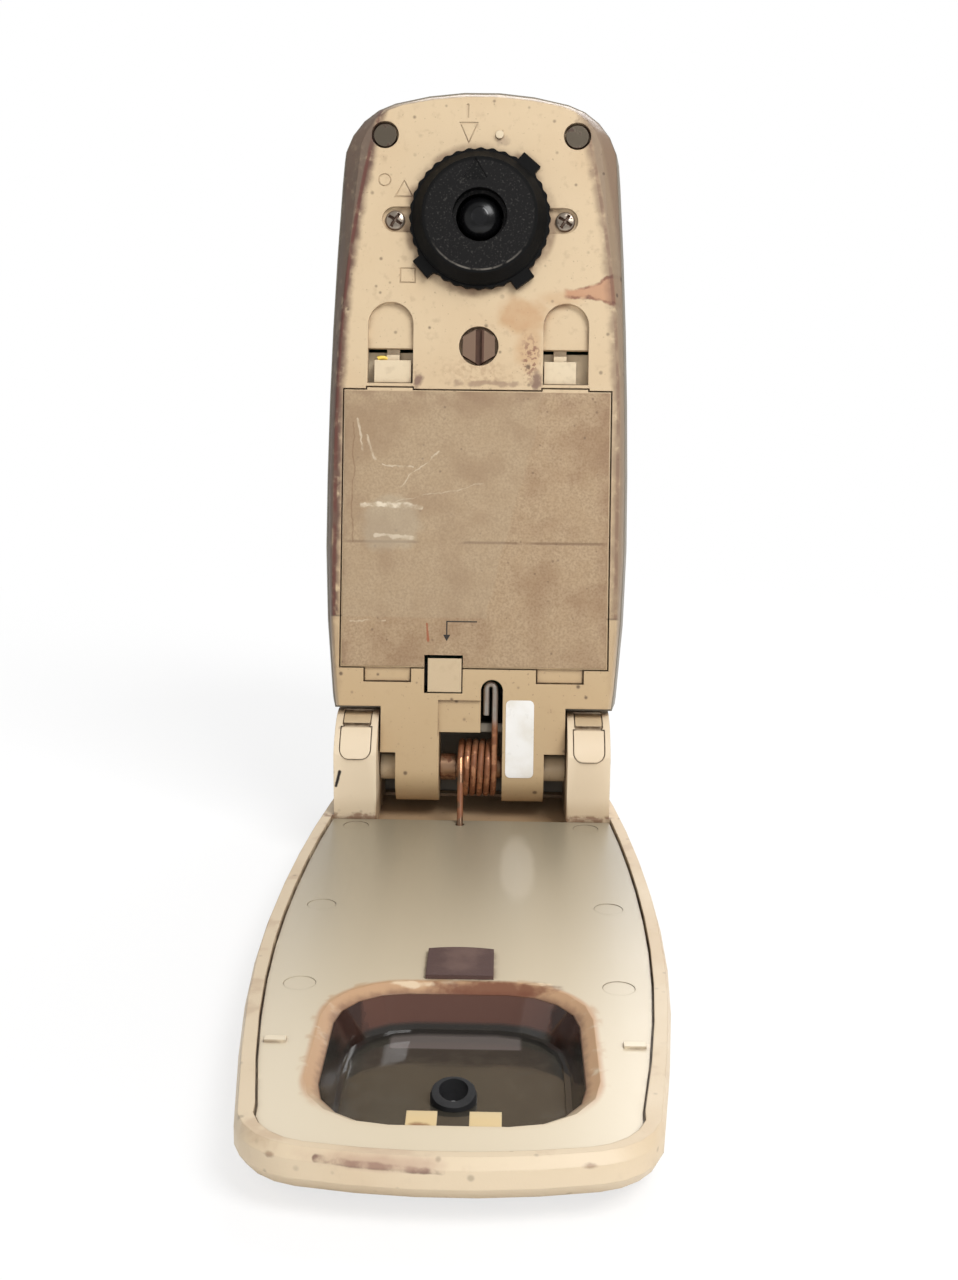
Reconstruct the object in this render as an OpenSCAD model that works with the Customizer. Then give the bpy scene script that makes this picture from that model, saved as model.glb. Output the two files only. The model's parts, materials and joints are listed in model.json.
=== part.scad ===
// Pocket reflection densitometer, folded open on its shoe.
// The shoe lies flat on z = 0 and points along -Y. The hinge axis runs along X at axis_height.
// The instrument is drawn closed, in its own frame: X across, r = -Y from the hinge axis to the
// nose, Z up from the hinge axis. on_instrument() stands it up at open_angle.

/* [Pose] */
// Angle between the shoe and the instrument when it stands open
open_angle = 102; // [101:0.5:103]

/* [Shoe] */
// How far the shoe's side stands out beside the instrument's waist
shoe_margin = 1.85; // [1.5:0.05:2.2]
// Gap between the shoe's rim and the closed instrument
closed_gap = 0.4; // [0.3:0.05:0.6]
// How far the shoe runs on behind the ears' round tops
shoe_tail = 1; // [0.8:0.1:2]
// Height of the rim above the sole
rim_height = 11.1; // [10.9:0.05:11.2]
// Width of the rim round the deck
rim_width = 3; // [2.6:0.1:3.4]
// Width of the dark groove between the rim and the deck
groove = 0.4; // [0.3:0.05:0.6]
// How far the deck lies below the rim
deck_drop = 0.8; // [0.7:0.05:1.2]
// Thickness of the deck plate
deck_thickness = 1.5; // [1.2:0.1:2]
// Thickness of the shoe's floor
sole_thickness = 2; // [1.6:0.1:2.4]
// Width of the ledge that the deck lies on
ledge_width = 1.5; // [1:0.1:2]
// Deck's rear edge, measured from the ears' flat front face
deck_setback = 0.5; // [0.4:0.1:1]
// How far the floor between the ears lies below the rim
well_drop = 3; // [2.5:0.1:3.5]
// Diameter of a deck stake
stake_d = 6; // [4:0.5:7]

/* [Ears] */
// Outer face of an ear to the shoe's side
ear_inset = 6.4; // [6:0.1:6.8]
// Thickness of an ear
ear_width = 10.5; // [9.5:0.5:10.5]
// Radius of an ear's top about the hinge axis
ear_radius = 14.8; // [14:0.1:15]
// Hinge axis to an ear's flat front face
ear_front = 13.3; // [12.8:0.1:13.6]
// Half width of the U-shaped cap on an ear
cap_half = 3.7; // [3:0.1:4]
// Depth of the pockets in an ear
pocket_depth = 0.9; // [0.6:0.1:1.2]

/* [Target window] */
// Middle of the window's ring to the opening's rear edge
window_behind = 29; // [28.5:0.1:29.4]
// Middle of the window's ring to the opening's front edge
window_ahead = 23.4; // [23:0.1:24]
// Half width of the window's opening in the deck
window_half = 24.3; // [23.5:0.1:25]
// Corner radius of the opening
window_corner = 15; // [12:0.5:17]
// How far the opening's sloped edge runs in
funnel = 2.4; // [1.5:0.1:2.6]
// How far the tray's walls draw in towards its floor
tray_draft = 1.8; // [1:0.1:2.2]
// Thickness of the smoked tray
tray_wall = 1.4; // [1.2:0.1:1.6]
// Height of the small step round the tray's floor
tray_step = 0.9; // [0.6:0.1:1.2]
// Width of the small step round the tray's floor
tray_step_width = 1; // [0.8:0.1:1.4]
// Gap between the sole and the tray
tray_lift = 0.4; // [0.3:0.1:0.6]
// Outer radius of the target ring at its foot
target_r = 4; // [3.6:0.1:4.5]
// Radius of the target ring's hole
target_hole_r = 2.5; // [2:0.1:2.7]
// Height of the target ring above the tray's floor
target_height = 2.9; // [2.6:0.1:3]
// Slope of the target ring's top, down to the front
target_slant = 17; // [12:1:18]
// Thickness of the rubber stop pad
pad_thickness = 0.85; // [0.6:0.05:0.9]
// Half width of the stop pad
pad_half = 6.4; // [5:0.1:7]
// Length of the stop pad
pad_length = 13.2; // [8:0.1:13.6]

/* [Hinge] */
// Radius of the hinge shaft
shaft_r = 2.5; // [2.2:0.1:2.7]
// Running clearance round the shaft
running_gap = 0.05; // [0.03:0.01:0.08]
// Outer radius of a hinge bush
bush_r = 3.3; // [3.1:0.1:3.5]
// Outer radius of the sleeve on the shaft
sleeve_r = 3.35; // [3:0.05:3.8]
// Wire diameter of the torsion spring
spring_wire = 1.3; // [1.1:0.05:1.35]
// Mean radius of the spring's curls
spring_r = 6.6; // [6.2:0.1:6.8]
// Distance between the spring's curls
spring_pitch = 1.72; // [1.7:0.01:1.74]
// Full turns of the spring, before the part turn between its legs
spring_turns = 5; // [4:1:5]
// Hinge axis to the spring's foot in the deck
foot_r = 16.7; // [16.2:0.1:17.5]

/* [Instrument body] */
// Hinge axis to the flat underside
underside = 8.5; // [8.4:0.05:8.6]
// How far the body widens from its underside to its waist, on each side
waist_swell = 2.25; // [1.8:0.05:2.6]
// How far the nose leans forward from the underside to the waist
nose_lean = 4; // [3.5:0.5:4.5]
// Filter ring's middle to the nose of the flat underside
nose_reach = 31.2; // [30.8:0.1:32]
// Height of the waist above the underside
waist_height = 12; // [11:0.5:14]
// Height of the cream casing's edge
casing_height = 4; // [3.6:0.1:4.6]
// Thickness of the casing's plate
casing_wall = 3; // [2.8:0.1:3.2]
// Wall of the top housing
housing_wall = 2.2; // [1.8:0.1:2.4]
// Height of the top face above the hinge axis, at the axis
top_rise = 44; // [43:0.5:46]
// Slope of the top face, up towards the nose
top_slope = 7.5; // [7:0.25:8]
// How far the top face's side lies inside the waist
top_inset = 6.7; // [6:0.1:7]
// How far the top face's nose end lies behind the underside's
top_setback = 35; // [33:0.5:36]
// Running clearance between the tongue and an ear
ear_clearance = 0.5; // [0.4:0.05:0.7]
// Clearance between the ears' round tops and the body's shoulders
shoulder_clearance = 0.7; // [0.6:0.1:1]
// Hinge axis to the tongue's end
tongue_end = 4; // [3.5:0.1:5]
// Gap between the casing and the top housing
seam = 0.2; // [0.1:0.05:0.3]

/* [Lugs and slot] */
// Outer face of the left lug to the tongue's side
left_lug_inset = 3.8; // [3.4:0.1:4.2]
// Outer face of the right lug to the tongue's side
right_lug_inset = 5.2; // [4.8:0.1:5.6]
// Inner face of the left lug
left_lug_inner = 8.4; // [8:0.1:8.8]
// Inner face of the right lug, and right side of the spring slot
right_lug_inner = 7.4; // [7.2:0.1:7.8]
// Left side of the spring slot
slot_left = 1.9; // [1.7:0.1:2.1]
// Hinge axis to the slot's round end
slot_end = 22.4; // [22:0.1:23]
// Room round the spring's curls in their well
spring_room = 1.95; // [1.9:0.05:2.3]
// Depth of the recessed panel beside the slot
panel_depth = 0.7; // [0.4:0.1:1]

/* [Battery cover] */
// Hinge axis to the cover's rear edge
cover_rear = 25.3; // [25:0.1:25.8]
// How far the cover runs on beyond the battery bay, on each side
cover_overlap = 3.6; // [3.2:0.1:3.8]
// How far the cover runs on behind the battery bay
rear_overlap = 5.5; // [5.3:0.1:5.8]
// How far the cover runs on before the battery bay
front_overlap = 3.3; // [3:0.1:3.5]
// Cover's side to the edge of the flat underside
edge_margin = 3.1; // [2.8:0.05:3.4]
// Thickness of the cover
cover_thickness = 1.8; // [1.5:0.1:1.9]
// Gap round the cover
cover_gap = 0.35; // [0.25:0.05:0.5]
// Thickness of the label plate
label_thickness = 0.15; // [0.1:0.05:0.2]
// Diameter of a battery cell
cell_d = 14.2; // [13.5:0.1:14.4]
// Length of a battery cell
cell_length = 50; // [48:0.5:51]
// Gap between neighbouring cells
cell_gap = 0.3; // [0.2:0.05:0.4]
// Room for the contacts, both ends together
contact_room = 10.2; // [9.8:0.1:10.6]
// Wall of the battery tray
bay_wall = 1.2; // [1:0.1:1.4]

/* [Latches and button] */
// Inner and outer side of a thumb recess, from the middle
thumb_inner = 16.2; // [15.8:0.1:16.6]
// Width of a thumb recess
thumb_width = 11.3; // [11:0.1:11.6]
// Latch opening's near side to the step at the foot of a thumb recess
latch_room = 8.9; // [8.7:0.1:9.2]
// Cover's front edge to the near side of the latch opening
latch_margin = 1.7; // [1.6:0.1:1.9]
// Depth of a thumb recess
thumb_depth = 1.2; // [0.8:0.1:1.6]
// Travel of a cover latch
latch_travel = 1.2; // [0.8:0.1:1.2]
// Side of the square battery-saver button
saver_side = 8.4; // [8:0.1:8.6]
// Travel of the battery-saver button
saver_travel = 1.5; // [1:0.1:1.6]

/* [Filter ring and optics] */
// Step at the foot of a thumb recess to the filter ring's middle
ring_setback = 31.9; // [31.6:0.1:32.4]
// Outer radius of the ring's scalloped foot
ring_r = 17.6; // [17.2:0.1:17.8]
// Radius of the ring's flat face
ring_face_r = 14.3; // [13.5:0.1:15]
// How far the ring stands out of the underside
ring_height = 5.2; // [4.8:0.1:5.4]
// Height of the scalloped foot
ring_foot = 1.6; // [1.2:0.1:2]
// Number of scallops
scallops = 36; // [24:1:40]
// Radius of the recess in the ring's face
ring_recess_r = 6.75; // [6.5:0.05:7]
// Radius of the lens nose
nose_r = 5.4; // [5:0.1:5.6]
// Outer radius of the ring's hub
hub_r = 9; // [8.8:0.1:9.4]
// Radius of the casing's bore for the ring mount
mount_bore_r = 12; // [11.8:0.1:12.6]
// Middle to a retainer screw, across
retainer_x = 21.2; // [20.9:0.1:21.5]
// Radius of a deep screw well
screw_well_r = 3.4; // [3.2:0.1:3.6]
// Across flats of the hexagon stop screw
hex_flats = 8; // [7.5:0.1:8.2]

/* [Top panel] */
// Radius of a key
key_r = 5.3; // [5:0.1:5.6]
// Clearance round a key
key_gap = 0.3; // [0.2:0.05:0.4]
// How far a key stands out
key_height = 1.4; // [1.1:0.1:1.8]
// Travel of a key
key_travel = 0.9; // [0.6:0.1:1]
// Half width of the display lens
lens_half = 22; // [20:0.5:22.5]
// Display lens to the top face's nose end
lens_setback = 14; // [13.5:0.5:16]
// Length of the display lens
lens_length = 33; // [30:0.5:33.5]

/* [Hidden] */

$fn = 48;
lean = open_angle - 90;
eps = 0.01;
far = 250;
// Radii of a side's two arcs, before and behind its widest place, and where that is.
body_arcs = [1350, 390, 60];
bottom_arcs = [738, 421, 60];
shoe_arcs = [450, 700, 78];
side_steps = 9;
bend_steps = 5;
crown_steps = 2;

cell_count = 4;
cell_pitch = cell_d + cell_gap;
bay_half = cell_count * cell_pitch / 2 + 0.6;
cover_half = bay_half + cover_overlap;
bottom_half = cover_half + edge_margin;
waist_half = bottom_half + waist_swell;
shoe_half = waist_half + shoe_margin;
top_half = waist_half - top_inset;
ear_outer = shoe_half - ear_inset;
ear_inner = ear_outer - ear_width;
ear_mid = ear_inner + ear_width / 2;
tongue_half = ear_inner - ear_clearance;
left_lug_outer = tongue_half - left_lug_inset;
right_lug_outer = tongue_half - right_lug_inset;

bay_rear = cover_rear + rear_overlap;
bay_front = bay_rear + cell_length + contact_room;
cover_front = bay_front + front_overlap;
latch_near = cover_front + latch_margin;
thumb_step = latch_near + latch_room;
lens_r = thumb_step + ring_setback;
bottom_nose = lens_r + nose_reach;
waist_nose = bottom_nose + nose_lean;
top_nose = bottom_nose - top_setback;
lens_rear = top_nose - lens_setback - lens_length;
shoe_front = waist_nose;
shoe_rear = ear_radius + shoe_tail;
deck_rear = ear_front + deck_setback;
window_rear = lens_r - window_behind;
window_front = lens_r + window_ahead;
shoulder_r = ear_radius + shoulder_clearance;
well_end = spring_r + spring_wire / 2 + spring_room;

axis_height = rim_height + closed_gap + underside;
deck_z = rim_height - deck_drop;
deck_under = deck_z - deck_thickness;
well_z = rim_height - well_drop;
bottom_z = -underside;
floor_z = bottom_z + casing_wall;
seam_z = bottom_z + casing_height;
waist_z = bottom_z + waist_height;
lug_radius = underside;
bay_clear = 1;
bay_y = shoe_rear + bay_clear;
stand_gap = 0.3;
body_end = -19;
well_screws = [[bottom_half - 12.35, lens_r + 21.1]];
tray_top = floor_z + cell_d + 2 * bay_wall + 0.4;
board_z = tray_top + 0.8;
board_thickness = 1.6;
board_half = bay_half - 0.6;
board_rear = bay_rear - 4.8;
board_front = thumb_step + 9.1;
socket_floor = board_z + board_thickness;
socket_r = board_rear + 34;
port_face = waist_half - housing_wall - 2.5;
jack_r = board_rear + 58;
jack_z = socket_floor + 4.2;

// ---------------------------------------------------------------- helpers

module block(x, r, z)
    translate([x[0], -r[1], z[0]]) cube([x[1] - x[0], r[1] - r[0], z[1] - z[0]]);

module drum(x, r, z, radius)
    translate([x, -r, z[0]]) cylinder(r = radius, h = z[1] - z[0]);

module axle(x, radius)
    translate([x[0], 0, 0]) rotate([0, 90, 0]) cylinder(r = radius, h = x[1] - x[0]);

module both_sides() {
    children();
    mirror([1, 0, 0]) children();
}

module slab(points, z, thickness)
    translate([0, 0, z]) linear_extrude(thickness) polygon(points);

module on_axis() translate([0, 0, axis_height]) children();

module on_instrument() on_axis() rotate([-open_angle, 0, 0]) children();

// The top face's own frame: Z along its normal, r along the slope.
module on_top() translate([0, 0, top_rise]) rotate([-top_slope, 0, 0]) children();

// A long outline, its sides drawn in by arcs, with round corners and a crowned nose.
function planform(half, nose, rear, corner, crown, arcs) =
    let (side = function(r) half - pow(r - arcs[2], 2) / (2 * arcs[r > arcs[2] ? 0 : 1]),
         corner_x = side(nose - 1.3 * corner) - corner,
         corner_r = nose - crown + sqrt(pow(crown - corner, 2) - pow(corner_x, 2)),
         turn = atan2(corner_r - nose + crown, corner_x),
         flank = [for (i = [0 : side_steps])
                  let (r = rear + (corner_r - rear) * i / side_steps) [side(r), -r]],
         bend = [for (i = [1 : bend_steps])
                 let (a = turn * i / bend_steps)
                 [corner_x + corner * cos(a), -corner_r - corner * sin(a)]],
         front = [for (i = [1 : crown_steps])
                  let (a = turn + (90 - turn) * i / (crown_steps + 0.5))
                  [crown * cos(a), crown - nose - crown * sin(a)]],
         right = concat(flank, bend, front))
    concat(right, [for (i = [len(right) - 1 : -1 : 0]) [-right[i][0], right[i][1]]]);

function rounded(half, r0, r1, corner) =
    [for (q = [[1, 1, 0], [-1, 1, 90], [-1, -1, 180], [1, -1, 270]], i = [0 : 4])
     let (a = q[2] + 90 * i / 4)
     [q[0] * (half - corner) + corner * cos(a),
      (q[1] > 0 ? -r0 - corner : -r1 + corner) + corner * sin(a)]];

// ---------------------------------------------------------------- the shoe

function shoe_outline(inset, rear = -shoe_rear) =
    planform(shoe_half - inset, shoe_front - inset, rear, 13 - inset / 2, 110, shoe_arcs);

module shoe_form() hull() {
    slab(planform(shoe_half - 3, shoe_front - 8.8, 3 - shoe_rear, 12, 110, shoe_arcs), 0, eps);
    slab(planform(shoe_half - 1, shoe_front - 4.3, 1 - shoe_rear, 13, 110, shoe_arcs), 2.6, eps);
    slab(shoe_outline(0), 6.5, rim_height - 8);
    slab(planform(shoe_half - 0.6, shoe_front - 1.5, -shoe_rear, 13, 110, shoe_arcs),
         rim_height - eps, eps);
}

module ear() translate([ear_inner, 0, 0]) rotate([90, 0, 90]) linear_extrude(ear_width) {
    intersection() {
        translate([0, axis_height]) circle(r = ear_radius, $fn = 72);
        translate([-ear_front, 0]) square([ear_front + ear_radius, axis_height + ear_radius]);
    }
    translate([-ear_front, sole_thickness]) square([ear_front + ear_radius, axis_height - sole_thickness]);
}

// A curved patch that follows an ear's top, seen from the front as a box or a U.
module ear_patch(half, low, high, depth, round, proud = 0) intersection() {
    translate([ear_mid, 0, axis_height]) rotate([0, 90, 0])
        difference() {
            cylinder(r = ear_radius + proud, h = 2 * half, center = true, $fn = 72);
            cylinder(r = ear_radius - depth, h = 3 * half, center = true, $fn = 72);
        }
    translate([ear_mid, 0, 0]) rotate([90, 0, 0]) linear_extrude(ear_radius + 2) {
        translate([-half, low + round]) square([2 * half, high - low - round]);
        translate([round - half, low]) square([2 * (half - round), round + eps]);
        both_sides2d() translate([half - round, low + round]) circle(r = round);
    }
}

module both_sides2d() {
    children();
    mirror([1, 0]) children();
}

stop_high = axis_height + ear_radius;
cap_high = stop_high - 2.6;
cap_low = cap_high - 6.6;
stop_half = 3.3;
patch_gap = 0.25;
cap_round = 2.5;

module shoe_frame() color([0.87, 0.80, 0.68]) difference() {
    union() {
        difference() {
            shoe_form();
            slab(shoe_outline(rim_width, deck_rear - groove), deck_under, rim_height);
            slab(shoe_outline(rim_width + ledge_width, deck_rear + ledge_width),
                 sole_thickness, rim_height);
            block([-ear_inner, ear_inner], [-shoe_rear - 1, deck_rear], [well_z, rim_height + 1]);
            slab(rounded(tray_half(0) + tray_wall + 0.4, tray_rear(0) - tray_wall - 0.4,
                         tray_front(0) + tray_wall + 0.4, tray_corner), -1, sole_thickness + 2);
        }
        block([-ear_inner, ear_inner], [-shoe_rear + 0.5, -shoe_rear + 3], [well_z - eps, well_z + 0.7]);
        for (p = stake_places) both_sides()
            drum(p[0], p[1], [sole_thickness - eps, deck_under], stake_d / 2 + 1);
        both_sides() ear();
    }
    on_axis() both_sides() axle([ear_inner - 1, ear_outer - 2.5], shaft_r + running_gap / 2);
    both_sides()
        ear_patch(cap_half + patch_gap, cap_low - patch_gap, cap_high + patch_gap, pocket_depth,
                  cap_round, 1);
    both_sides()
        ear_patch(stop_half + patch_gap, cap_high + patch_gap, stop_high + 1, pocket_depth, 0.4, 1);
    for (p = stake_places) both_sides()
        drum(p[0], p[1], [sole_thickness + 1, deck_z], stake_d / 4 + 0.05);
}

stake_places = [[shoe_half - 12.4, deck_rear + 4.7],
                [shoe_half - 10.1, (deck_rear + window_rear) / 2 + 9.4],
                [shoe_half - 10.6, window_rear + 1.5]];

tab_height = 0.5;

function deck_outline() = shoe_outline(rim_width + groove, deck_rear);

module shoe_deck() color([0.80, 0.75, 0.65]) {
    deck_plate();
    // two tabs at the window's front edge
    for (x = [[-6.9, -2], [3.1, 8.2]])
        block(x, [window_front - 6.3, window_front - 0.6], [deck_under, deck_under + tab_height]);
}

module deck_plate() difference() {
    union() {
        slab(deck_outline(), deck_under, deck_thickness);
        // small ribs beside the window
        both_sides() block([shoe_half - 11.4, shoe_half - rim_width - groove - 4.2],
                           [lens_r - 5.1, lens_r - 3.3], [deck_z - eps, deck_z + 0.5]);
    }
    hull() {
        slab(rounded(window_half, window_rear, window_front, window_corner), deck_z, eps);
        slab(rounded(window_half - funnel, window_rear + funnel, window_front - funnel,
                     window_corner - funnel), deck_under - eps, eps);
    }
    for (p = stake_places) both_sides() {
        drum(p[0], p[1], [deck_under - 1, deck_z], stake_d / 4 + 0.05);
        drum(p[0], p[1], [deck_z - 0.7, deck_z + 1], stake_d / 2 + 0.05);
    }
    drum(foot_x, foot_r, [deck_under - 1, deck_z + 1], spring_wire / 2 + 0.5);
}

module deck_stakes() color([0.84, 0.79, 0.69]) for (p = stake_places) both_sides() {
    drum(p[0], p[1], [sole_thickness + 1.2, deck_z - 0.5], stake_d / 4);
    drum(p[0], p[1], [deck_z - 0.7, deck_z - 0.1], stake_d / 2);
}

// The tray's inner walls at share t of the way from its mouth to its floor.
tray_corner = window_corner - funnel;
function tray_half(t) = window_half - funnel - tray_draft * (1 - t);
function tray_rear(t) = window_rear + funnel + tray_draft * (1 - t);
function tray_front(t) = window_front - funnel - tray_draft * (1 - t);
function tray_outline(t, grow) =
    rounded(tray_half(t) + grow, tray_rear(t) - grow, tray_front(t) + grow, tray_corner + grow / 2);
tray_floor = tray_lift + tray_wall;
flange = 2.2;

module target_window() color([0.30, 0.28, 0.25, 0.6]) difference() {
    union() {
        hull() {
            slab(tray_outline(0, tray_wall), tray_lift, eps);
            slab(tray_outline(1, tray_wall), deck_under - eps, eps);
        }
        slab(tray_outline(1, tray_wall + flange), deck_under - 1.2, 1.2);
    }
    hull() {
        slab(tray_outline(0, 0), tray_floor + tray_step, eps);
        slab(tray_outline(1, 0), deck_under + eps, eps);
    }
    slab(tray_outline(0, -tray_step_width), tray_floor, tray_step + eps);
    drum(0, lens_r, [-1, rim_height], target_r - 0.6);
}

module target_ring() color([0.17, 0.17, 0.18]) translate([0, -lens_r, 0]) difference() {
    rotate_extrude() polygon([
        [target_hole_r, tray_lift], [target_r - 0.62, tray_lift], [target_r - 0.62, tray_floor],
        [target_r, tray_floor], [target_r, tray_floor + 0.4 * target_height],
        [target_r - 0.4, tray_floor + 0.8 * target_height],
        [target_hole_r + 0.5, tray_floor + target_height], [target_hole_r, tray_floor + target_height]]);
    translate([-target_r - 1, 0.7 * target_r, tray_floor + target_height]) rotate([target_slant, 0, 0])
        translate([0, -3 * target_r, 0]) cube([2 * target_r + 2, 3 * target_r, 2 * target_height]);
}

pad_round = 26;

module stop_pad() color([0.37, 0.28, 0.27])
    translate([0, -window_rear + 1.2, deck_z]) linear_extrude(pad_thickness) intersection() {
        translate([-pad_half, 0]) square([2 * pad_half, pad_length]);
        translate([0, pad_length - pad_round]) circle(r = pad_round, $fn = 96);
    }

module ear_caps() color([0.84, 0.78, 0.66])
    both_sides() ear_patch(cap_half, cap_low, cap_high, pocket_depth - 0.2, cap_round - patch_gap);

module ear_stops() color([0.93, 0.89, 0.80])
    both_sides() ear_patch(stop_half, cap_high + 0.8, stop_high - 0.4, pocket_depth - 0.2, 0.3);

module hinge_shaft() color([0.55, 0.45, 0.38]) on_axis() both_sides() axle([0, ear_outer - 2.8], shaft_r);

module shaft_sleeve() color([0.55, 0.38, 0.28]) on_axis() difference() {
    union() {
        axle([0.3 - left_lug_inner, start_x - spring_wire], sleeve_r);
        axle([1 - left_lug_inner, right_lug_inner - 0.4], sleeve_r - 0.5);
    }
    axle([-right_lug_outer, right_lug_outer], shaft_r + running_gap / 2);
}

// ---------------------------------------------------------------- the torsion spring

leg_up_x = right_lug_inner - 1.94;
leg_back_x = slot_left + 1.4;
curl_rings = 8;
leg_z = -spring_r;
hairpin_r = (leg_up_x - leg_back_x) / 2;
leg_top = slot_end - spring_wire / 2 - hairpin_r - 0.5;
foot_dy = -foot_r;
foot_dz = deck_z - axis_height;
foot_reach = norm([foot_dy, foot_dz]);
start_angle = 360 + atan2(foot_dz, foot_dy) - acos(spring_r / foot_reach);
end_angle = 180 - lean - 360 * spring_turns;
sweep = start_angle - end_angle;
spring_len = spring_pitch * sweep / 360;
start_x = leg_up_x - spring_len;
foot_x = start_x + 0.3;
curl_count = ceil(sweep / 360 * curl_rings);

function stood(x, r, z) =
    [x, r * sin(lean) + z * cos(lean), axis_height + r * cos(lean) - z * sin(lean)];

spring_path = concat(
    [[foot_x, -foot_r - 0.35, deck_z - 1.3], [foot_x, -foot_r, deck_z]],
    [for (i = [0 : curl_count])
     let (a = start_angle - sweep * i / curl_count)
     [start_x + spring_len * i / curl_count, spring_r * cos(a), axis_height + spring_r * sin(a)]],
    [stood(leg_up_x, 5, leg_z), stood(leg_up_x, leg_top, leg_z)],
    [for (i = [1 : 3])
     let (a = 45 * i)
     stood(leg_up_x - hairpin_r + hairpin_r * cos(a), leg_top + hairpin_r * sin(a), leg_z)],
    [stood(leg_back_x, leg_top, leg_z), stood(leg_back_x, 13.5, leg_z)]);

function unit(v) = v / norm(v);
function heading(path, i) =
    unit(path[min(i + 1, len(path) - 1)] - path[max(i - 1, 0)]);
function square_to(v, along) = unit(v - (v * along) * along);

// Rings carried along the path without twist.
function carried(path) =
    [for (i = 0, up = square_to([0, 1, 1], heading(path, 0)); i < len(path);
          i = i + 1, up = square_to(up, heading(path, min(i, len(path) - 1)))) up];

module tube(path, radius, sides) {
    ups = carried(path);
    points = [for (i = [0 : len(path) - 1], k = [0 : sides - 1])
              let (side = cross(heading(path, i), ups[i]), a = 360 * k / sides)
              path[i] + radius * (cos(a) * ups[i] + sin(a) * side)];
    last = len(path) - 1;
    faces = concat(
        [for (k = [1 : sides - 2]) [0, k + 1, k]],
        [for (k = [1 : sides - 2]) [last * sides, last * sides + k, last * sides + k + 1]],
        [for (i = [0 : last - 1], k = [0 : sides - 1], half = [0, 1])
         let (a = i * sides + k, b = i * sides + (k + 1) % sides)
         half == 0 ? [a, b, b + sides] : [a, b + sides, a + sides]]);
    polyhedron(points, faces);
}

// Least gap between curls, measured between path points at least half a turn apart.
spring_gap = min([for (i = [0 : len(spring_path) - 1], j = [i + 5 : 1 : len(spring_path) - 1])
                  norm(spring_path[i] - spring_path[j])]) - spring_wire;
echo("least gap of the spring to itself, mm", spring_gap);  // torsion_spring

module torsion_spring() color([0.45, 0.28, 0.20]) tube(spring_path, spring_wire / 2, 6);

// ---------------------------------------------------------------- the instrument's shells

function body_at(t, inset, rear) =
    planform(bottom_half + (waist_half - bottom_half) * t - inset,
             bottom_nose + (waist_nose - bottom_nose) * t - inset, rear, 14 + 7 * t - inset / 2,
             88 - 13 * t - inset, t > 0.3 ? body_arcs : bottom_arcs);

module top_slab(inset) on_top()
    slab(planform(top_half - inset, top_nose - inset, -8, 14 - inset, 60, body_arcs),
         -inset - eps, eps);

module housing_form(inset) hull() {
    slab(body_at(0.5, inset, body_end), seam_z - (inset > 0 ? 1 : 0), eps);
    slab(body_at(1, inset, body_end), waist_z, eps);
    slab(planform(waist_half - 1 - inset, waist_nose - 2 - inset, body_end, 21, 70, body_arcs),
         top_rise - 24, eps);
    slab(planform(waist_half - 3.8 - inset, waist_nose - 9 - inset, body_end, 23, 65, body_arcs),
         top_rise - 6, eps);
    top_slab(inset);
}

// What the shoe, its ears and the table leave no room for when the instrument stands open.
module hinge_bay(grow) rotate([open_angle, 0, 0])
    translate([-far, -far, -far]) cube([2 * far, far + bay_y + grow, far + shoulder_r + grow]);

module under_table(grow) rotate([open_angle, 0, 0])
    translate([-far, -far, stand_gap + grow - axis_height - far]) cube([2 * far, 2 * far, far]);

module bay_cut(grow) difference() {
    hinge_bay(grow);
    block([-tongue_half + grow, tongue_half - grow], [well_end + grow, far], [bottom_z - 5, far]);
}

module housing_cavity() difference() {
    housing_form(housing_wall);
    bay_cut(housing_wall);
    under_table(housing_wall);
    // bosses for the casing screws and the keypad board
    for (p = well_screws) both_sides() drum(p[0], p[1], [seam_z - 2, far], screw_well_r + 1.4);
    on_top() both_sides() for (r = board_bosses) drum(boss_x, r, [board_top, 0], 1.7);
}

module top_housing() color([0.47, 0.44, 0.39]) difference() {
    housing_form(0);
    housing_cavity();
    bay_cut(0);
    under_table(0);
    block([-far, far], [-far, far], [bottom_z - far, seam_z + seam]);
    for (p = well_screws) both_sides() {
        drum(p[0], p[1], [seam_z - 2, 16], 1.4);
        drum(p[0], p[1], [seam_z - 2, seam_z + 1.5], screw_well_r + 1.9);
    }
    // display window, key holes and side sockets
    on_top() {
        block([-lens_half - 0.1, lens_half + 0.1],
              [lens_rear - 0.1, lens_rear + lens_length + 0.1], [-lens_thickness, 2]);
        block([2 - lens_half, lens_half - 2], [lens_rear + 2, lens_rear + lens_length - 2], [-5, 2]);
        for (k = key_places) drum(k[0], k[1], [-5, 2], key_r + key_gap);
    }
    block([port_face - 8.5, far], [socket_r - 6.6, socket_r + 6.6],
          [socket_floor + 0.8, socket_floor + 12.2]);
    translate([port_face - 8.5, -jack_r, jack_z]) rotate([0, 90, 0]) cylinder(r = 3.4, h = 20);
}

module lug(inner, outer)
    translate([inner, 0, 0]) rotate([90, 0, 90]) linear_extrude(outer - inner) {
    circle(r = lug_radius, $fn = 72);
    translate([-well_end + 0.2, bottom_z]) square([well_end - 0.2, underside + 2]);
    translate([-well_end - 2, bottom_z]) square([well_end + 2, casing_height]);
}

module thumb_shape(grow, r0) {
    mid = thumb_inner + thumb_width / 2;
    half = thumb_width / 2 + grow;
    translate([mid - half, -thumb_step - 5.7]) square([2 * half, thumb_step + 5.7 - r0]);
    translate([mid, -thumb_step - 5.7]) circle(r = half);
}

saver_x = slot_left - 9.1;
saver_mid_r = cover_rear - 1.9;

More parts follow.
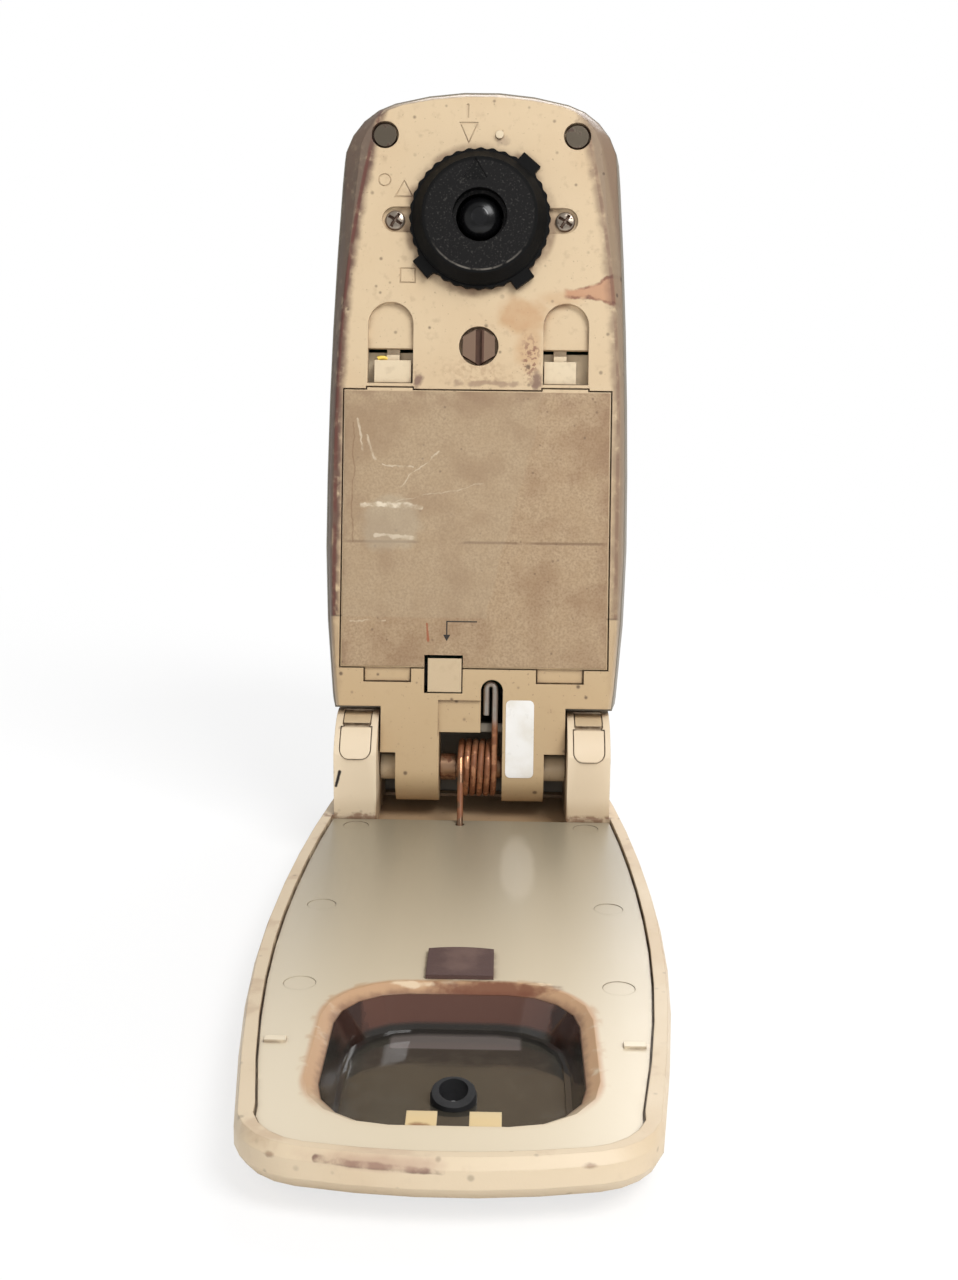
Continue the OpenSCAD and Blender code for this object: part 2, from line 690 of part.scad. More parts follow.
// Shallow marks that the ring's pointer turns to: a drop, a circle, two triangles and a square.
module index_marks() translate([0, -lens_r, bottom_z - 1]) linear_extrude(1.2) {
    translate([-23.9, -9.8]) difference() {
        circle(r = 1.6);
        circle(r = 1.35);
    }
    translate([-19, -7.5]) mark_outline([[-2.4, 2], [2.4, 2], [0, -2.4]], 0.8);
    translate([-3.1, -21.8]) mark_outline([[-2.4, -2.6], [2.4, -2.6], [0, 2.8]], 0.8);
    translate([-17.8, 13.9]) mark_outline([[-2, -1.9], [2, -1.9], [2, 1.9], [-2, 1.9]], 0.85);
    translate([-3.4, 4 - nose_reach]) square([0.5, 3.4], center = true);
}

module mark_outline(points, share) difference() {
    polygon(points);
    polygon(share * points);
}

module bottom_casing() color([0.87, 0.79, 0.65]) difference() {
    union() {
        difference() {
            hull() {
                slab(body_at(0, 0.5, tongue_end), bottom_z, eps);
                slab(body_at(0, 0, tongue_end), bottom_z + 0.6, eps);
                slab(body_at(0.4, 0, tongue_end), seam_z - eps, eps);
            }
            slab(body_at(0.2, housing_wall, shoulder_r + housing_wall), floor_z, casing_height);
            block([-tongue_half + housing_wall, tongue_half - housing_wall],
                  [well_end + 2.3, shoulder_r + 3], [floor_z, seam_z + 1]);
            both_sides() block([tongue_half, far], [-far, shoulder_r], [bottom_z - 1, seam_z + 1]);
        }
        mirror([1, 0, 0]) lug(left_lug_inner, left_lug_outer);
        lug(right_lug_inner, right_lug_outer);
        for (p = well_screws) both_sides()
            drum(p[0], p[1], [floor_z - eps, seam_z + 1.2], screw_well_r + 1.6);
        // posts for the two small switches and a boss for the stop screw
        block(read_post_x, [read_r - 3, read_r + 2.6], [floor_z - eps, read_switch_z + 5]);
        block(saver_post_x, [saver_mid_r - 3.4, saver_mid_r + 3.4], [floor_z - eps, saver_switch_z + 5]);
        drum(hex_x, hex_r, [floor_z - eps, floor_z + 5], 4.6);
        both_sides() latch_guides();
    }
    // spring well, slot and recessed panel
    block([-left_lug_inner, right_lug_inner], [-20, well_end], [bottom_z - 1, 20]);
    block([slot_left, right_lug_inner], [0, slot_end - slot_half], [bottom_z - 1, seam_z + 1]);
    drum(slot_left + slot_half, slot_end - slot_half, [bottom_z - 1, seam_z + 1], slot_half);
    block([-left_lug_inner - 0.3, slot_left + 1], [well_end - 1, saver_mid_r - 6.2],
          [bottom_z - 1, bottom_z + panel_depth]);
    axle([-left_lug_outer - 1, right_lug_outer + 1], bush_r + 0.02);
    // battery cover's seat, the tabs' notches and the tray's mouth
    cover_block(cover_gap, bottom_z - 1, bottom_z + cover_thickness + label_thickness);
    slab(rounded(bay_half, bay_rear, bay_front, 0.6), bottom_z, casing_height + 1);
    // thumb recesses with the latch openings
    both_sides() {
        translate([0, 0, bottom_z - 1]) linear_extrude(1 + thumb_depth) thumb_shape(0, thumb_step - eps);
        block([thumb_inner, thumb_inner + thumb_width], [latch_near, thumb_step],
              [bottom_z - 1, seam_z + 1]);
    }
    // battery-saver button
    block([saver_x - saver_side / 2 - 0.9, saver_x + saver_side / 2 + 0.3],
          [saver_mid_r - saver_side / 2 - 0.3, saver_mid_r + saver_side / 2 + 0.8],
          [bottom_z - 1, seam_z + 1]);
    // filter ring's mount, its two retainer screws and the stop screw
    drum(0, lens_r, [bottom_z - 1, seam_z + 2], mount_bore_r);
    both_sides() {
        block([mount_bore_r - 1.5, retainer_x], [lens_r - 3.2, lens_r + 3.2],
              [bottom_z - 1, bottom_z + 1.2]);
        drum(retainer_x, lens_r, [bottom_z - 1, bottom_z + 1.2], 3.2);
        drum(retainer_x, lens_r, [bottom_z, floor_z + 1], 1.3);
    }
    drum(hex_x, hex_r, [bottom_z - 1, bottom_z + 2.3], hex_flats / 2 / cos(30) + 0.3);
    drum(hex_x, hex_r, [bottom_z, floor_z + 6], 2.05);
    // deep wells, read plunger
    for (p = well_screws) both_sides() {
        drum(p[0], p[1], [bottom_z - 1, seam_z - 1.2], screw_well_r);
        drum(p[0], p[1], [bottom_z, seam_z + 3], 1.55);
    }
    drum(read_x, read_r, [bottom_z - 1, seam_z], 1.05);
    index_marks();
}

slot_half = (right_lug_inner - slot_left) / 2;
hex_x = 0.15;
hex_r = thumb_step + 0.55;
read_x = 4.6;
read_r = lens_r + 21.2;
read_travel = 0.6;
read_switch_z = floor_z + 1 + read_travel + 0.3;
read_post_x = [read_x + 4.6, read_x + 6.6];
saver_switch_z = floor_z + 1.1 + saver_travel + 0.3;
saver_post_x = [saver_x - saver_side / 2 - 4.2, saver_x - saver_side / 2 - 2.2];
tab_inner = thumb_inner - 0.3;
tab_outer = thumb_inner + thumb_width - 0.4;

module cover_block(grow, low, high) {
    block([-cover_half - grow, cover_half + grow],
          [cover_rear - grow, cover_front + grow], [low, high]);
    both_sides() {
        block([thumb_inner - grow, thumb_inner + thumb_width + grow],
              [cover_front - 1, latch_near - 1.1 + grow], [low, high]);
        block([tab_inner - grow, tab_outer + grow],
              [cover_rear - 3.4 - grow, cover_rear + 1], [low, high]);
    }
}

module saver_notch()
    block([saver_x - saver_side / 2 - 0.9, saver_x + saver_side / 2 + 0.3],
          [saver_mid_r - saver_side, saver_mid_r + saver_side / 2 + 0.8], [bottom_z - 1, seam_z + 1]);

module battery_cover() color([0.80, 0.71, 0.57]) difference() {
    cover_block(0, bottom_z + label_thickness, bottom_z + label_thickness + cover_thickness);
    // the two tabs hook under the casing's edge
    both_sides() block([tab_inner - 0.9, tab_outer + 0.9], [cover_rear - 4, cover_rear],
                       [bottom_z - 1, bottom_z + 0.8]);
    saver_notch();
}

module cover_label() color([0.69, 0.60, 0.46]) difference() {
    block([-cover_half + 0.3, cover_half - 0.3], [cover_rear + 0.3, cover_front - 0.3],
          [bottom_z, bottom_z + label_thickness]);
    saver_notch();
}

module lug_sticker() color([0.96, 0.96, 0.94]) intersection() {
    translate([right_lug_inner + 4.3, 0, bottom_z - 1]) linear_extrude(3)
        polygon(rounded(3.5, -1.9, 17.4, 1.2));
    difference() {
        sticker_form(lug_radius + 0.1);
        sticker_form(lug_radius);
    }
}

// Round below the axis and flat before it, as the lug is.
module sticker_form(radius) {
    axle([right_lug_inner, right_lug_outer], radius, $fn = 72);
    block([right_lug_inner, right_lug_outer], [0, 18], [-radius, 0]);
}

module hinge_bushes() color([0.76, 0.68, 0.55]) difference() {
    union() {
        axle([-ear_inner + 0.25, -left_lug_inner - 0.3], bush_r);
        axle([right_lug_inner + 0.3, ear_inner - 0.25], bush_r);
    }
    axle([-ear_inner, ear_inner], shaft_r + running_gap);
}

module casing_screws() color([0.6, 0.6, 0.6]) for (p = well_screws) both_sides() {
    drum(p[0], p[1], [seam_z - 1.2 - 2.4, seam_z - 1.2], 2.8);
    drum(p[0], p[1], [seam_z - 1.3, 14], 1.35);
}

// ---------------------------------------------------------------- batteries and boards

module battery_tray() color([0.25, 0.25, 0.26]) {
    difference() {
        slab(rounded(bay_half + bay_wall, bay_rear - bay_wall, bay_front + bay_wall, 1.6),
             floor_z, tray_top - floor_z);
        slab(rounded(bay_half, bay_rear, bay_front, 0.6), floor_z - 1, tray_top - floor_z + 1 - bay_wall);
    }
    both_sides() for (r = [bay_rear + 5.2, bay_front - 5])
        drum(bay_half - 5.6, r, [tray_top - eps, board_z], 2.5);
}

cell_z = floor_z + 0.6 + cell_d / 2;
cell_rear = (bay_rear + bay_front - cell_length) / 2;

cell_places = [for (i = [0 : cell_count - 1]) (i - (cell_count - 1) / 2) * cell_pitch];

module battery_cells() color([0.30, 0.42, 0.62])
    for (x = cell_places) translate([x, -cell_rear, cell_z]) rotate([90, 0, 0]) {
        cylinder(r = cell_d / 2, h = cell_length - 1.2);
        cylinder(r = 2.7, h = cell_length);
    }

module battery_contacts() color([0.8, 0.78, 0.7])
    for (x = cell_places) {
        block([x - 4, x + 4], [bay_rear + 0.05, cell_rear - 0.1], [cell_z - 4, cell_z + 4]);
        block([x - 4, x + 4], [cell_rear + cell_length + 0.1, bay_front - 0.05],
              [cell_z - 4, cell_z + 4]);
    }

module main_circuit_board() color([0.10, 0.35, 0.20])
    block([-board_half, board_half], [board_rear, board_front], [board_z, board_z + board_thickness]);

// Middle, half width and half length of each chip, from the board's middle and its rear edge.
chips = [[15 - board_half, 24, 9, 9], [board_half - 21, 20, 6, 10], [13 - board_half, 48, 6, 5],
         [board_half - 25, 50, 8, 8], [17 - board_half, 72, 5, 8]];

module board_components() color([0.12, 0.12, 0.13]) {
    for (c = chips)
        block([c[0] - c[2], c[0] + c[2]], [board_rear + c[1] - c[3], board_rear + c[1] + c[3]],
              [socket_floor, socket_floor + 1.8]);
    drum(board_half - 12, board_front - 10, [socket_floor, socket_floor + 8], 5);
    drum(7 - board_half, board_rear + 6, [socket_floor, socket_floor + 6], 4.5);
}

lens_thickness = 1.2;
board_top = -6.1;
boss_x = top_half - 7.5;
board_bosses = [lens_rear - 64, lens_rear - 1.5];
mat_top = -housing_wall - 0.3 - 1.2 - key_travel - 0.3;
key_places = [[0, lens_rear - 10], [0, lens_rear - 32], [-15, lens_rear - 21],
              [15, lens_rear - 21], [0, lens_rear - 52]];

module keypad_board() color([0.10, 0.35, 0.20]) on_top()
    block([-boss_x - 2, boss_x + 2], [board_bosses[0] - 4, lens_rear + lens_length + 2],
          [board_top - board_thickness, board_top]);

module keypad_mat() color([0.55, 0.55, 0.55]) on_top() difference() {
    block([2.2 - boss_x, boss_x - 2.2], [board_bosses[0] + 3.5, lens_rear - 2], [board_top, mat_top]);
    // a hollow dome under each key
    for (k = key_places) drum(k[0], k[1], [board_top - 1, board_top + 0.4], key_r - 1);
}

module ribbon_cable() color([0.75, 0.75, 0.72]) difference() {
    block([-10, 10], [board_front - 6, board_front - 5.4], [socket_floor, far]);
    on_top() block([-11, 11], [0, bottom_nose], [board_top - board_thickness, 2 * far]);
}

module display_module() color([0.35, 0.38, 0.34]) on_top()
    block([1 - lens_half, lens_half - 1], [lens_rear + 0.6, lens_rear + lens_length - 0.6],
          [board_top, -housing_wall - 0.1]);

module display_lens() color([0.35, 0.40, 0.38, 0.6]) on_top()
    block([-lens_half, lens_half], [lens_rear, lens_rear + lens_length], [-lens_thickness, -0.1]);

module serial_socket() color([0.15, 0.15, 0.16]) difference() {
    block([port_face - 13.5, port_face], [socket_r - 7, socket_r + 7], [socket_floor, socket_floor + 13]);
    block([port_face - 11.5, far], [socket_r - 5.6, socket_r + 5.6],
          [socket_floor + 1.6, socket_floor + 11.4]);
}

module charger_jack() color([0.15, 0.15, 0.16]) {
    difference() {
        block([port_face - 11.5, port_face], [jack_r - 4.4, jack_r + 4.4],
              [socket_floor, socket_floor + 8.6]);
        translate([port_face - 9.5, -jack_r, jack_z]) rotate([0, 90, 0]) cylinder(r = 2.8, h = 20);
    }
    translate([port_face - 9.6, -jack_r, jack_z]) rotate([0, 90, 0]) cylinder(r = 0.8, h = 9);
}

// ---------------------------------------------------------------- optics

mount_flange = 1.6;
hub_gap = 0.05;
block_z = floor_z + mount_flange;

module ring_mount() color([0.13, 0.13, 0.14]) difference() {
    union() {
        drum(0, lens_r, [bottom_z + 0.4, block_z], mount_bore_r - 0.1);
        drum(0, lens_r, [floor_z, block_z], mount_bore_r + 3);
        block([-retainer_x - 3, retainer_x + 3], [lens_r - 3.4, lens_r + 3.4], [floor_z, block_z]);
    }
    drum(0, lens_r, [bottom_z - 1, block_z + 1], hub_r + hub_gap);
    both_sides() drum(retainer_x, lens_r, [bottom_z, block_z + 1], 1.15);
}

module ring_clip() color([0.6, 0.6, 0.62]) difference() {
    drum(0, lens_r, [block_z + 0.1, block_z + 0.9], hub_r + 2);
    drum(0, lens_r, [block_z - 1, block_z + 2], hub_r - 0.7);
}

module retainer_screws() color([0.62, 0.58, 0.52]) both_sides() {
    drum(retainer_x, lens_r, [bottom_z + 0.1, bottom_z + 1.2], 2.5);
    drum(retainer_x, lens_r, [bottom_z + 1.1, block_z], 1.1);
}

ring_face_z = bottom_z - ring_height;
ring_foot_z = bottom_z - 0.3;
scallop_depth = 0.22;
scallop_points = 6 * scallops;

module filter_ring() color([0.08, 0.08, 0.09]) difference() {
    union() {
        translate([0, -lens_r, ring_foot_z - ring_foot]) linear_extrude(ring_foot)
            polygon([for (i = [0 : scallop_points - 1])
                     let (a = 360 * i / scallop_points,
                          reach = ring_r - scallop_depth + scallop_depth * cos(scallops * a))
                     reach * [cos(a), sin(a)]]);
        translate([0, -lens_r, 0]) rotate_extrude($fn = 72) polygon([
            [ring_recess_r - 1, ring_foot_z], [ring_r - 1, ring_foot_z - ring_foot + 0.1],
            [ring_r - 1, ring_foot_z - ring_foot - 0.4], [ring_face_r, ring_face_z],
            [ring_recess_r - 1, ring_face_z]]);
        // three lugs on the rim
        for (a = lug_angles) translate([0, -lens_r, 0]) rotate([0, 0, a])
            translate([ring_r - 1.6, -2.7, ring_foot_z - ring_foot]) cube([3.5, 5.4, ring_foot]);
        drum(0, lens_r, [ring_foot_z - 1, block_z + 1.9], hub_r);
    }
    drum(0, lens_r, [ring_face_z - 1, block_z + 5], nose_r + 0.5);
    drum(0, lens_r, [ring_face_z - 1, ring_face_z + 2.6], ring_recess_r);
    // groove for the clip
    difference() {
        drum(0, lens_r, [block_z + 0.05, block_z + 0.95], hub_r + 1);
        drum(0, lens_r, [block_z - 1, block_z + 2], hub_r - 0.75);
    }
    // pointer on the face
    translate([-1.2, -lens_r, ring_face_z - 1]) linear_extrude(1.25)
        polygon([[-3, -9.1], [3, -9.1], [0, -14]]);
}

// Measured from +X towards +Y: the ring's lugs lie at 41, 144 and 229 degrees from the nose.
lug_angles = [-49, 54, 139];

module lens_barrel() color([0.05, 0.05, 0.06]) translate([0, -lens_r, 0]) difference() {
    rotate_extrude($fn = 64) polygon(concat(
        [[0, block_z + 12], [0, dome_z - dome_rise]],
        [for (i = [1 : 7]) let (a = 90 * i / 8) [nose_r * sin(a), dome_z - dome_rise * cos(a)]],
        [[nose_r, dome_z], [nose_r, block_z + 12]]));
    translate([0, 0, ring_face_z - 5]) cylinder(r = glass_r + 0.05, h = 60);
}

dome_rise = 3.2;
dome_z = ring_face_z + dome_rise + 0.7;
glass_r = 2.2;

module objective_lens() color([0.2, 0.2, 0.25, 0.6]) translate([0, -lens_r, 0]) intersection() {
    rotate_extrude($fn = 64) polygon(concat(
        [[0, dome_z + 1], [0, dome_z - dome_rise + 0.1]],
        [for (i = [1 : 7]) let (a = 90 * i / 8) [nose_r * sin(a), dome_z - dome_rise * cos(a) + 0.1]],
        [[nose_r, dome_z + 1]]));
    translate([0, 0, ring_face_z - 5]) cylinder(r = glass_r, h = 60);
}

optics_top = block_z + 27.9;

module optics_block() color([0.10, 0.10, 0.11]) difference() {
    union() {
        drum(0, lens_r, [block_z + 2.2, optics_top], 15);
        for (side = [-9, 9])
            block([2.2 - retainer_x, retainer_x - 2.2], [lens_r + side - 3, lens_r + side + 3],
                  [block_z, block_z + 13.9]);
    }
    drum(0, lens_r, [block_z - 1, block_z + 2.2], hub_r + 2.4);
    drum(0, lens_r, [block_z, optics_top + 1], nose_r + 0.05);
}

module lamp_socket() color([0.82, 0.80, 0.74]) difference() {
    drum(0, lens_r, [optics_top, optics_top + 6], 9);
    drum(0, lens_r, [optics_top - 1, optics_top + 3.4], 3.1);
}

module lamp() color([0.9, 0.9, 0.85, 0.7]) translate([0, -lens_r, 0]) {
    translate([0, 0, optics_top - 4]) cylinder(r = 2.4, h = 7.3);
    translate([0, 0, optics_top - 4]) sphere(r = 2.4);
}

module detector_board() color([0.10, 0.35, 0.20])
    block([-17, 17], [lens_r - 14, lens_r + 12], [optics_top + 6, optics_top + 7.6]);

module hex_stop_screw() color([0.70, 0.60, 0.52]) difference() {
    union() {
        drum_hex(hex_x, hex_r, [bottom_z, bottom_z + 2.3], hex_flats / 2 / cos(30));
        drum(hex_x, hex_r, [bottom_z + 2.2, floor_z + 4], 2);
    }
    block([hex_x - 0.75, hex_x + 0.75], [hex_r - 6, hex_r + 6], [bottom_z - 1, bottom_z + 1]);
}

module drum_hex(x, r, z, radius)
    translate([x, -r, z[0]]) rotate(30) cylinder(r = radius, h = z[1] - z[0], $fn = 6);

module read_switch() color([0.16, 0.16, 0.17])
    block([read_x - 3, read_x + 4.6], [read_r - 3, read_r + 2.6], [read_switch_z, read_switch_z + 5]);

module saver_switch() color([0.16, 0.16, 0.17])
    block([saver_x - saver_side / 2 - 2.2, saver_x + 3], [saver_mid_r - 3, saver_mid_r + 3],
          [saver_switch_z, saver_switch_z + 5]);

// ---------------------------------------------------------------- small moving pieces

module saver_button() color([0.84, 0.77, 0.63]) {
    block([saver_x - saver_side / 2, saver_x + saver_side / 2],
          [saver_mid_r - saver_side / 2, saver_mid_r + saver_side / 2], [bottom_z + 0.1, floor_z + 0.4]);
    block([saver_x - saver_side / 2 + 0.4, saver_x + saver_side / 2 + 1.2],
          [saver_mid_r - 3, saver_mid_r + 3], [floor_z + 0.3, floor_z + 1.1]);
}

module read_plunger() color([0.86, 0.82, 0.74]) {
    drum(read_x, read_r, [bottom_z - 0.7, floor_z + 0.3], 1);
    drum(read_x, read_r, [floor_z + 0.2, floor_z + 1], 2);
}

module latch_guides() for (x = [thumb_inner - 3.2, thumb_inner + thumb_width + 2.2])
    block([x, x + 1], [thumb_step + 0.8, thumb_step + 8.4], [floor_z - eps, floor_z + 1.6]);

// Hook block in the opening, its toe over the cover's lip, its stem and the slide plate on the floor.
module cover_latch(side, width) color([0.89, 0.85, 0.75]) {
    mid = thumb_inner + side + width / 2;
    block([mid - width / 2, mid + width / 2], [latch_near + 0.3, latch_near + 5.9],
          [bottom_z + 1, floor_z + 1.1]);
    block([mid - 2.5, mid + 2.5], [cover_front - 0.5, latch_near + 0.4], [floor_z + 0.1, floor_z + 1.1]);
    block([mid - 1.6, mid + 1.6], [latch_near + 5.8, thumb_step - latch_travel - 0.3],
          [bottom_z + 2, floor_z + 1.1]);
    block([mid - 1.6, mid + 1.6], [latch_near + 5.8, thumb_step + 1.2], [floor_z + 0.1, floor_z + 1.1]);
    block([thumb_inner - 2, thumb_inner + thumb_width + 2], [thumb_step + 1, thumb_step + 7],
          [floor_z + 0.1, floor_z + 1.1]);
}

module key(place) color([0.7, 0.68, 0.62]) on_top() {
    drum(place[0], place[1], [-housing_wall - 1, key_height], key_r);
    drum(place[0], place[1], [-housing_wall - 1.5, -housing_wall - 0.3], key_r + 1.1);
}

// ---------------------------------------------------------------- the assembly

shoe_frame();
shoe_deck();
deck_stakes();
target_window();
target_ring();
stop_pad();
ear_caps();
ear_stops();
hinge_shaft();
shaft_sleeve();
torsion_spring();
on_instrument() bottom_casing();
on_instrument() top_housing();
on_instrument() hinge_bushes();
on_instrument() casing_screws();
on_instrument() battery_cover();
on_instrument() cover_label();
on_instrument() lug_sticker();
on_instrument() battery_tray();
on_instrument() battery_cells();
on_instrument() battery_contacts();
on_instrument() main_circuit_board();
on_instrument() board_components();
on_instrument() keypad_board();
on_instrument() keypad_mat();
on_instrument() ribbon_cable();
on_instrument() display_module();
on_instrument() display_lens();
on_instrument() ring_mount();
on_instrument() ring_clip();
on_instrument() retainer_screws();
on_instrument() lens_barrel();
on_instrument() objective_lens();
on_instrument() optics_block();
on_instrument() lamp_socket();
on_instrument() lamp();
on_instrument() detector_board();
on_instrument() hex_stop_screw();
on_instrument() read_switch();
on_instrument() saver_switch();
on_instrument() serial_socket();
on_instrument() charger_jack();
on_instrument() filter_ring();
on_instrument() saver_button();
on_instrument() read_plunger();
on_instrument() mirror([1, 0, 0]) cover_latch(0.5, 9.2);  // cover_latch_left
on_instrument() cover_latch(0.3, 8);  // cover_latch_right
on_instrument() key(key_places[0]);  // key_up
on_instrument() key(key_places[1]);  // key_down
on_instrument() key(key_places[2]);  // key_menu
on_instrument() key(key_places[3]);  // key_enter
on_instrument() key(key_places[4]);  // key_escape
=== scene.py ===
# %% [markdown]
# # A reflection densitometer, folded open
# The object is a hand-held light meter for prints. It is two long halves on one hinge: a flat shoe
# with a window over the target, and the instrument, which here stands up and shows its underside.
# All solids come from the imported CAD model. This lesson gives them their finish, and adds the few
# pieces whose shape is easier to draw here: the wound spring, screw heads, an arrow, a wire and
# the beds that two latches slide in.

import json
import math

import bpy
from mathutils import Matrix, Vector


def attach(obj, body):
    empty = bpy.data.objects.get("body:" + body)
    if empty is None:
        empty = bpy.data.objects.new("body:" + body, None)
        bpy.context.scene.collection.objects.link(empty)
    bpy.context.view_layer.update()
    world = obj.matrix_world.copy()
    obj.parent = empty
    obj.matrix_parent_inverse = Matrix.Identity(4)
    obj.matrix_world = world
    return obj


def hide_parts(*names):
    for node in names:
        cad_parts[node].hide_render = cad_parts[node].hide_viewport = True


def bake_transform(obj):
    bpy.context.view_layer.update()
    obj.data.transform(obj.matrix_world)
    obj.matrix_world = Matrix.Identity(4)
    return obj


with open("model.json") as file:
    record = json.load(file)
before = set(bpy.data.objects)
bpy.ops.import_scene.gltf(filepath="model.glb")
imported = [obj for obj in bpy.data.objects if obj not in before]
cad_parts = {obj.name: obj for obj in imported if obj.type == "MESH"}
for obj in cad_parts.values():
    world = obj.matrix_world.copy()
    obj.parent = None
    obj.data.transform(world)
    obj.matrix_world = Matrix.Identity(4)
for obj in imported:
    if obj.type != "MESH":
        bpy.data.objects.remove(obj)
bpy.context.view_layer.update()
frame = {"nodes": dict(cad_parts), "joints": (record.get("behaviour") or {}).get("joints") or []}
nodes = frame["nodes"]

# %% [markdown]
# ## Two frames
# The shoe lies on the floor, with its window towards -Y. The instrument leans back from upright,
# so its underside is a sloping plane. Pieces and stains on it are easiest to place in its own
# frame: `across` is X, `along` runs from the hinge to the nose, and `depth` runs into the body.
# One function turns such a place into the scene's metres.

# %% The instrument's own frame
MM = 0.001
hinge = next(joint for joint in frame["joints"] if joint["name"] == "shoe_hinge")
axis_height = hinge["pos_m"][2] / MM
lean = math.radians(hinge["range_deg"][1] - 90)
underside = -8.5
lens_along = 136.8


def stood(across, along, depth):
    """A place on the standing instrument, from millimetres in its own frame."""
    y = along * math.sin(lean) + depth * math.cos(lean)
    z = axis_height + along * math.cos(lean) - depth * math.sin(lean)
    return Vector((across, y, z)) * MM


print("hinge axis at", axis_height, "mm, lean", round(math.degrees(lean), 1), "degrees")

# %% [markdown]
# ## The camera
# The camera looks square at the instrument's underside, from a little below its nose, as the
# photographer did. Its place and its focal length were worked out from the perspective: the shoe
# grows wider towards the lens by an amount that only one distance explains. The lens is given in
# pixels of the photograph, and Blender wants it for a 36 mm sensor on the long side.

# %% Camera
frame_height_px = 1280
focal_px = 1547
camera_at = Vector((7.44, -378.19, 133.41)) * MM
yaw = math.radians(0.92)
roll = math.radians(0.83)

up_slope = Vector((0, math.sin(lean), math.cos(lean)))
into_body = Vector((0, math.cos(lean), -math.sin(lean)))
forward = into_body * math.cos(yaw) - Vector((1, 0, 0)) * math.sin(yaw)
level_right = forward.cross(up_slope).normalized()
level_up = level_right.cross(forward)
right = level_right * math.cos(roll) + level_up * math.sin(roll)
up = level_up * math.cos(roll) - level_right * math.sin(roll)

camera_data = bpy.data.cameras.new("camera")
camera_data.sensor_width = 36
camera_data.lens = focal_px / frame_height_px * camera_data.sensor_width
camera_data.clip_start = 0.01
camera = bpy.data.objects.new("camera", camera_data)
camera.rotation_mode = "QUATERNION"
axes = Matrix([right, up, -forward]).transposed().to_4x4()
camera.matrix_world = Matrix.Translation(camera_at) @ axes
bpy.context.scene.collection.objects.link(camera)
bpy.context.scene.camera = camera
print("lens, mm:", round(camera_data.lens, 2))

# %% [markdown]
# ## Light
# The photograph has the flat, soft light of a bright room, a little stronger from the upper right,
# on a white ground. Four large area lamps and a pale world give that. The world is white to the
# camera, but weaker as a light, so that cream plastic keeps its colour.

# %% Lamps
bpy.context.scene.view_settings.view_transform = "Standard"


def soft_lamp(name, at, size, power, mirrored=True, aim=(0, -0.03, 0.08)):
    """A square area lamp that faces the object. Glossy faces show it where it is `mirrored`."""
    data = bpy.data.lights.new(name, "AREA")
    data.size = size
    data.energy = power
    lamp = bpy.data.objects.new(name, data)
    lamp.location = at
    lamp.visible_glossy = mirrored
    lamp.rotation_mode = "QUATERNION"
    lamp.rotation_quaternion = (Vector(aim) - Vector(at)).to_track_quat("-Z", "Y")
    bpy.context.scene.collection.objects.link(lamp)


soft_lamp("key_lamp", at=(0.42, -0.50, 0.82), size=0.45, power=7.0)
soft_lamp("front_lamp", at=(0.12, -0.90, 0.12), size=0.6, power=1.9, mirrored=False)
soft_lamp("left_lamp", at=(-0.65, -0.55, 0.35), size=0.7, power=0.5)
soft_lamp("back_lamp", at=(0.15, 0.75, 0.65), size=0.6, power=4.5)
print("lamps:", len(bpy.data.lights))

# %% [markdown]
# ## Shader sums as Python sums
# A material is a small calculation: noise, less a threshold, times a colour. Written as nodes and
# links it is hard to read, so one class wraps a node's output and gives it the arithmetic signs.
# `mask * 0.4 + 0.1` then adds two Math nodes. Every other node comes from one method, which takes
# the node's type, its settings and the values or wires of its sockets. Materials and the world
# are both such trees of nodes, so both use it.


# %% Wires
class Wire:
    """One output of a shader node, with the arithmetic that the finishes use."""

    def __init__(self, graph, socket):
        self.graph = graph
        self.socket = socket

    def math(self, operation, first, second):
        sockets = {0: first, 1: second}
        return self.graph.node("ShaderNodeMath", {"operation": operation}, sockets)[0]

    def __add__(self, other):
        return self.math("ADD", self, other)

    def __radd__(self, other):
        return self.math("ADD", other, self)

    def __sub__(self, other):
        return self.math("SUBTRACT", self, other)

    def __rsub__(self, other):
        return self.math("SUBTRACT", other, self)

    def __mul__(self, other):
        return self.math("MULTIPLY", self, other)

    def __rmul__(self, other):
        return self.math("MULTIPLY", other, self)

    def __truediv__(self, other):
        return self.math("DIVIDE", self, other)

    def __pow__(self, other):
        return self.math("POWER", self, other)

    def __abs__(self):
        return self.math("ABSOLUTE", self, 0)

    def larger(self, other):
        return self.math("MAXIMUM", self, other)


class Made:
    """A new node, whose outputs are read as wires by name or by number."""

    def __init__(self, graph, made):
        self.graph = graph
        self.made = made

    def __getitem__(self, key):
        return Wire(self.graph, self.made.outputs[key])


class Graph:
    """A tree of shader nodes, of a material or of the world."""

    def __init__(self, tree):
        self.tree = tree

    def node(self, kind, settings=None, sockets=None):
        """Any node: its type, its settings, and the values or wires of its sockets."""
        made = self.tree.nodes.new(kind)
        for setting, value in (settings or {}).items():
            setattr(made, setting, value)
        for key, value in (sockets or {}).items():
            if isinstance(value, Wire):
                self.tree.links.new(value.socket, made.inputs[key])
            else:
                made.inputs[key].default_value = value
        return Made(self, made)

    def join(self, wire, name, socket):
        """Leads a wire to a node that the tree held from the start."""
        self.tree.links.new(wire.socket, self.tree.nodes[name].inputs[socket])


def length(across, along):
    """How long a step of `across` one way and `along` the other is."""
    return (across * across + along * along) ** 0.5


# %% [markdown]
# ## A finish
# The class below is one material under construction. It offers the places on the object in
# millimetres, so a stain can be put where it is seen, and the handful of patterns that an old
# plastic instrument needs: soft noise, specks, blots with ragged edges and thin lines. Patterns
# feed only base colour, roughness, metallic, alpha and the normal.


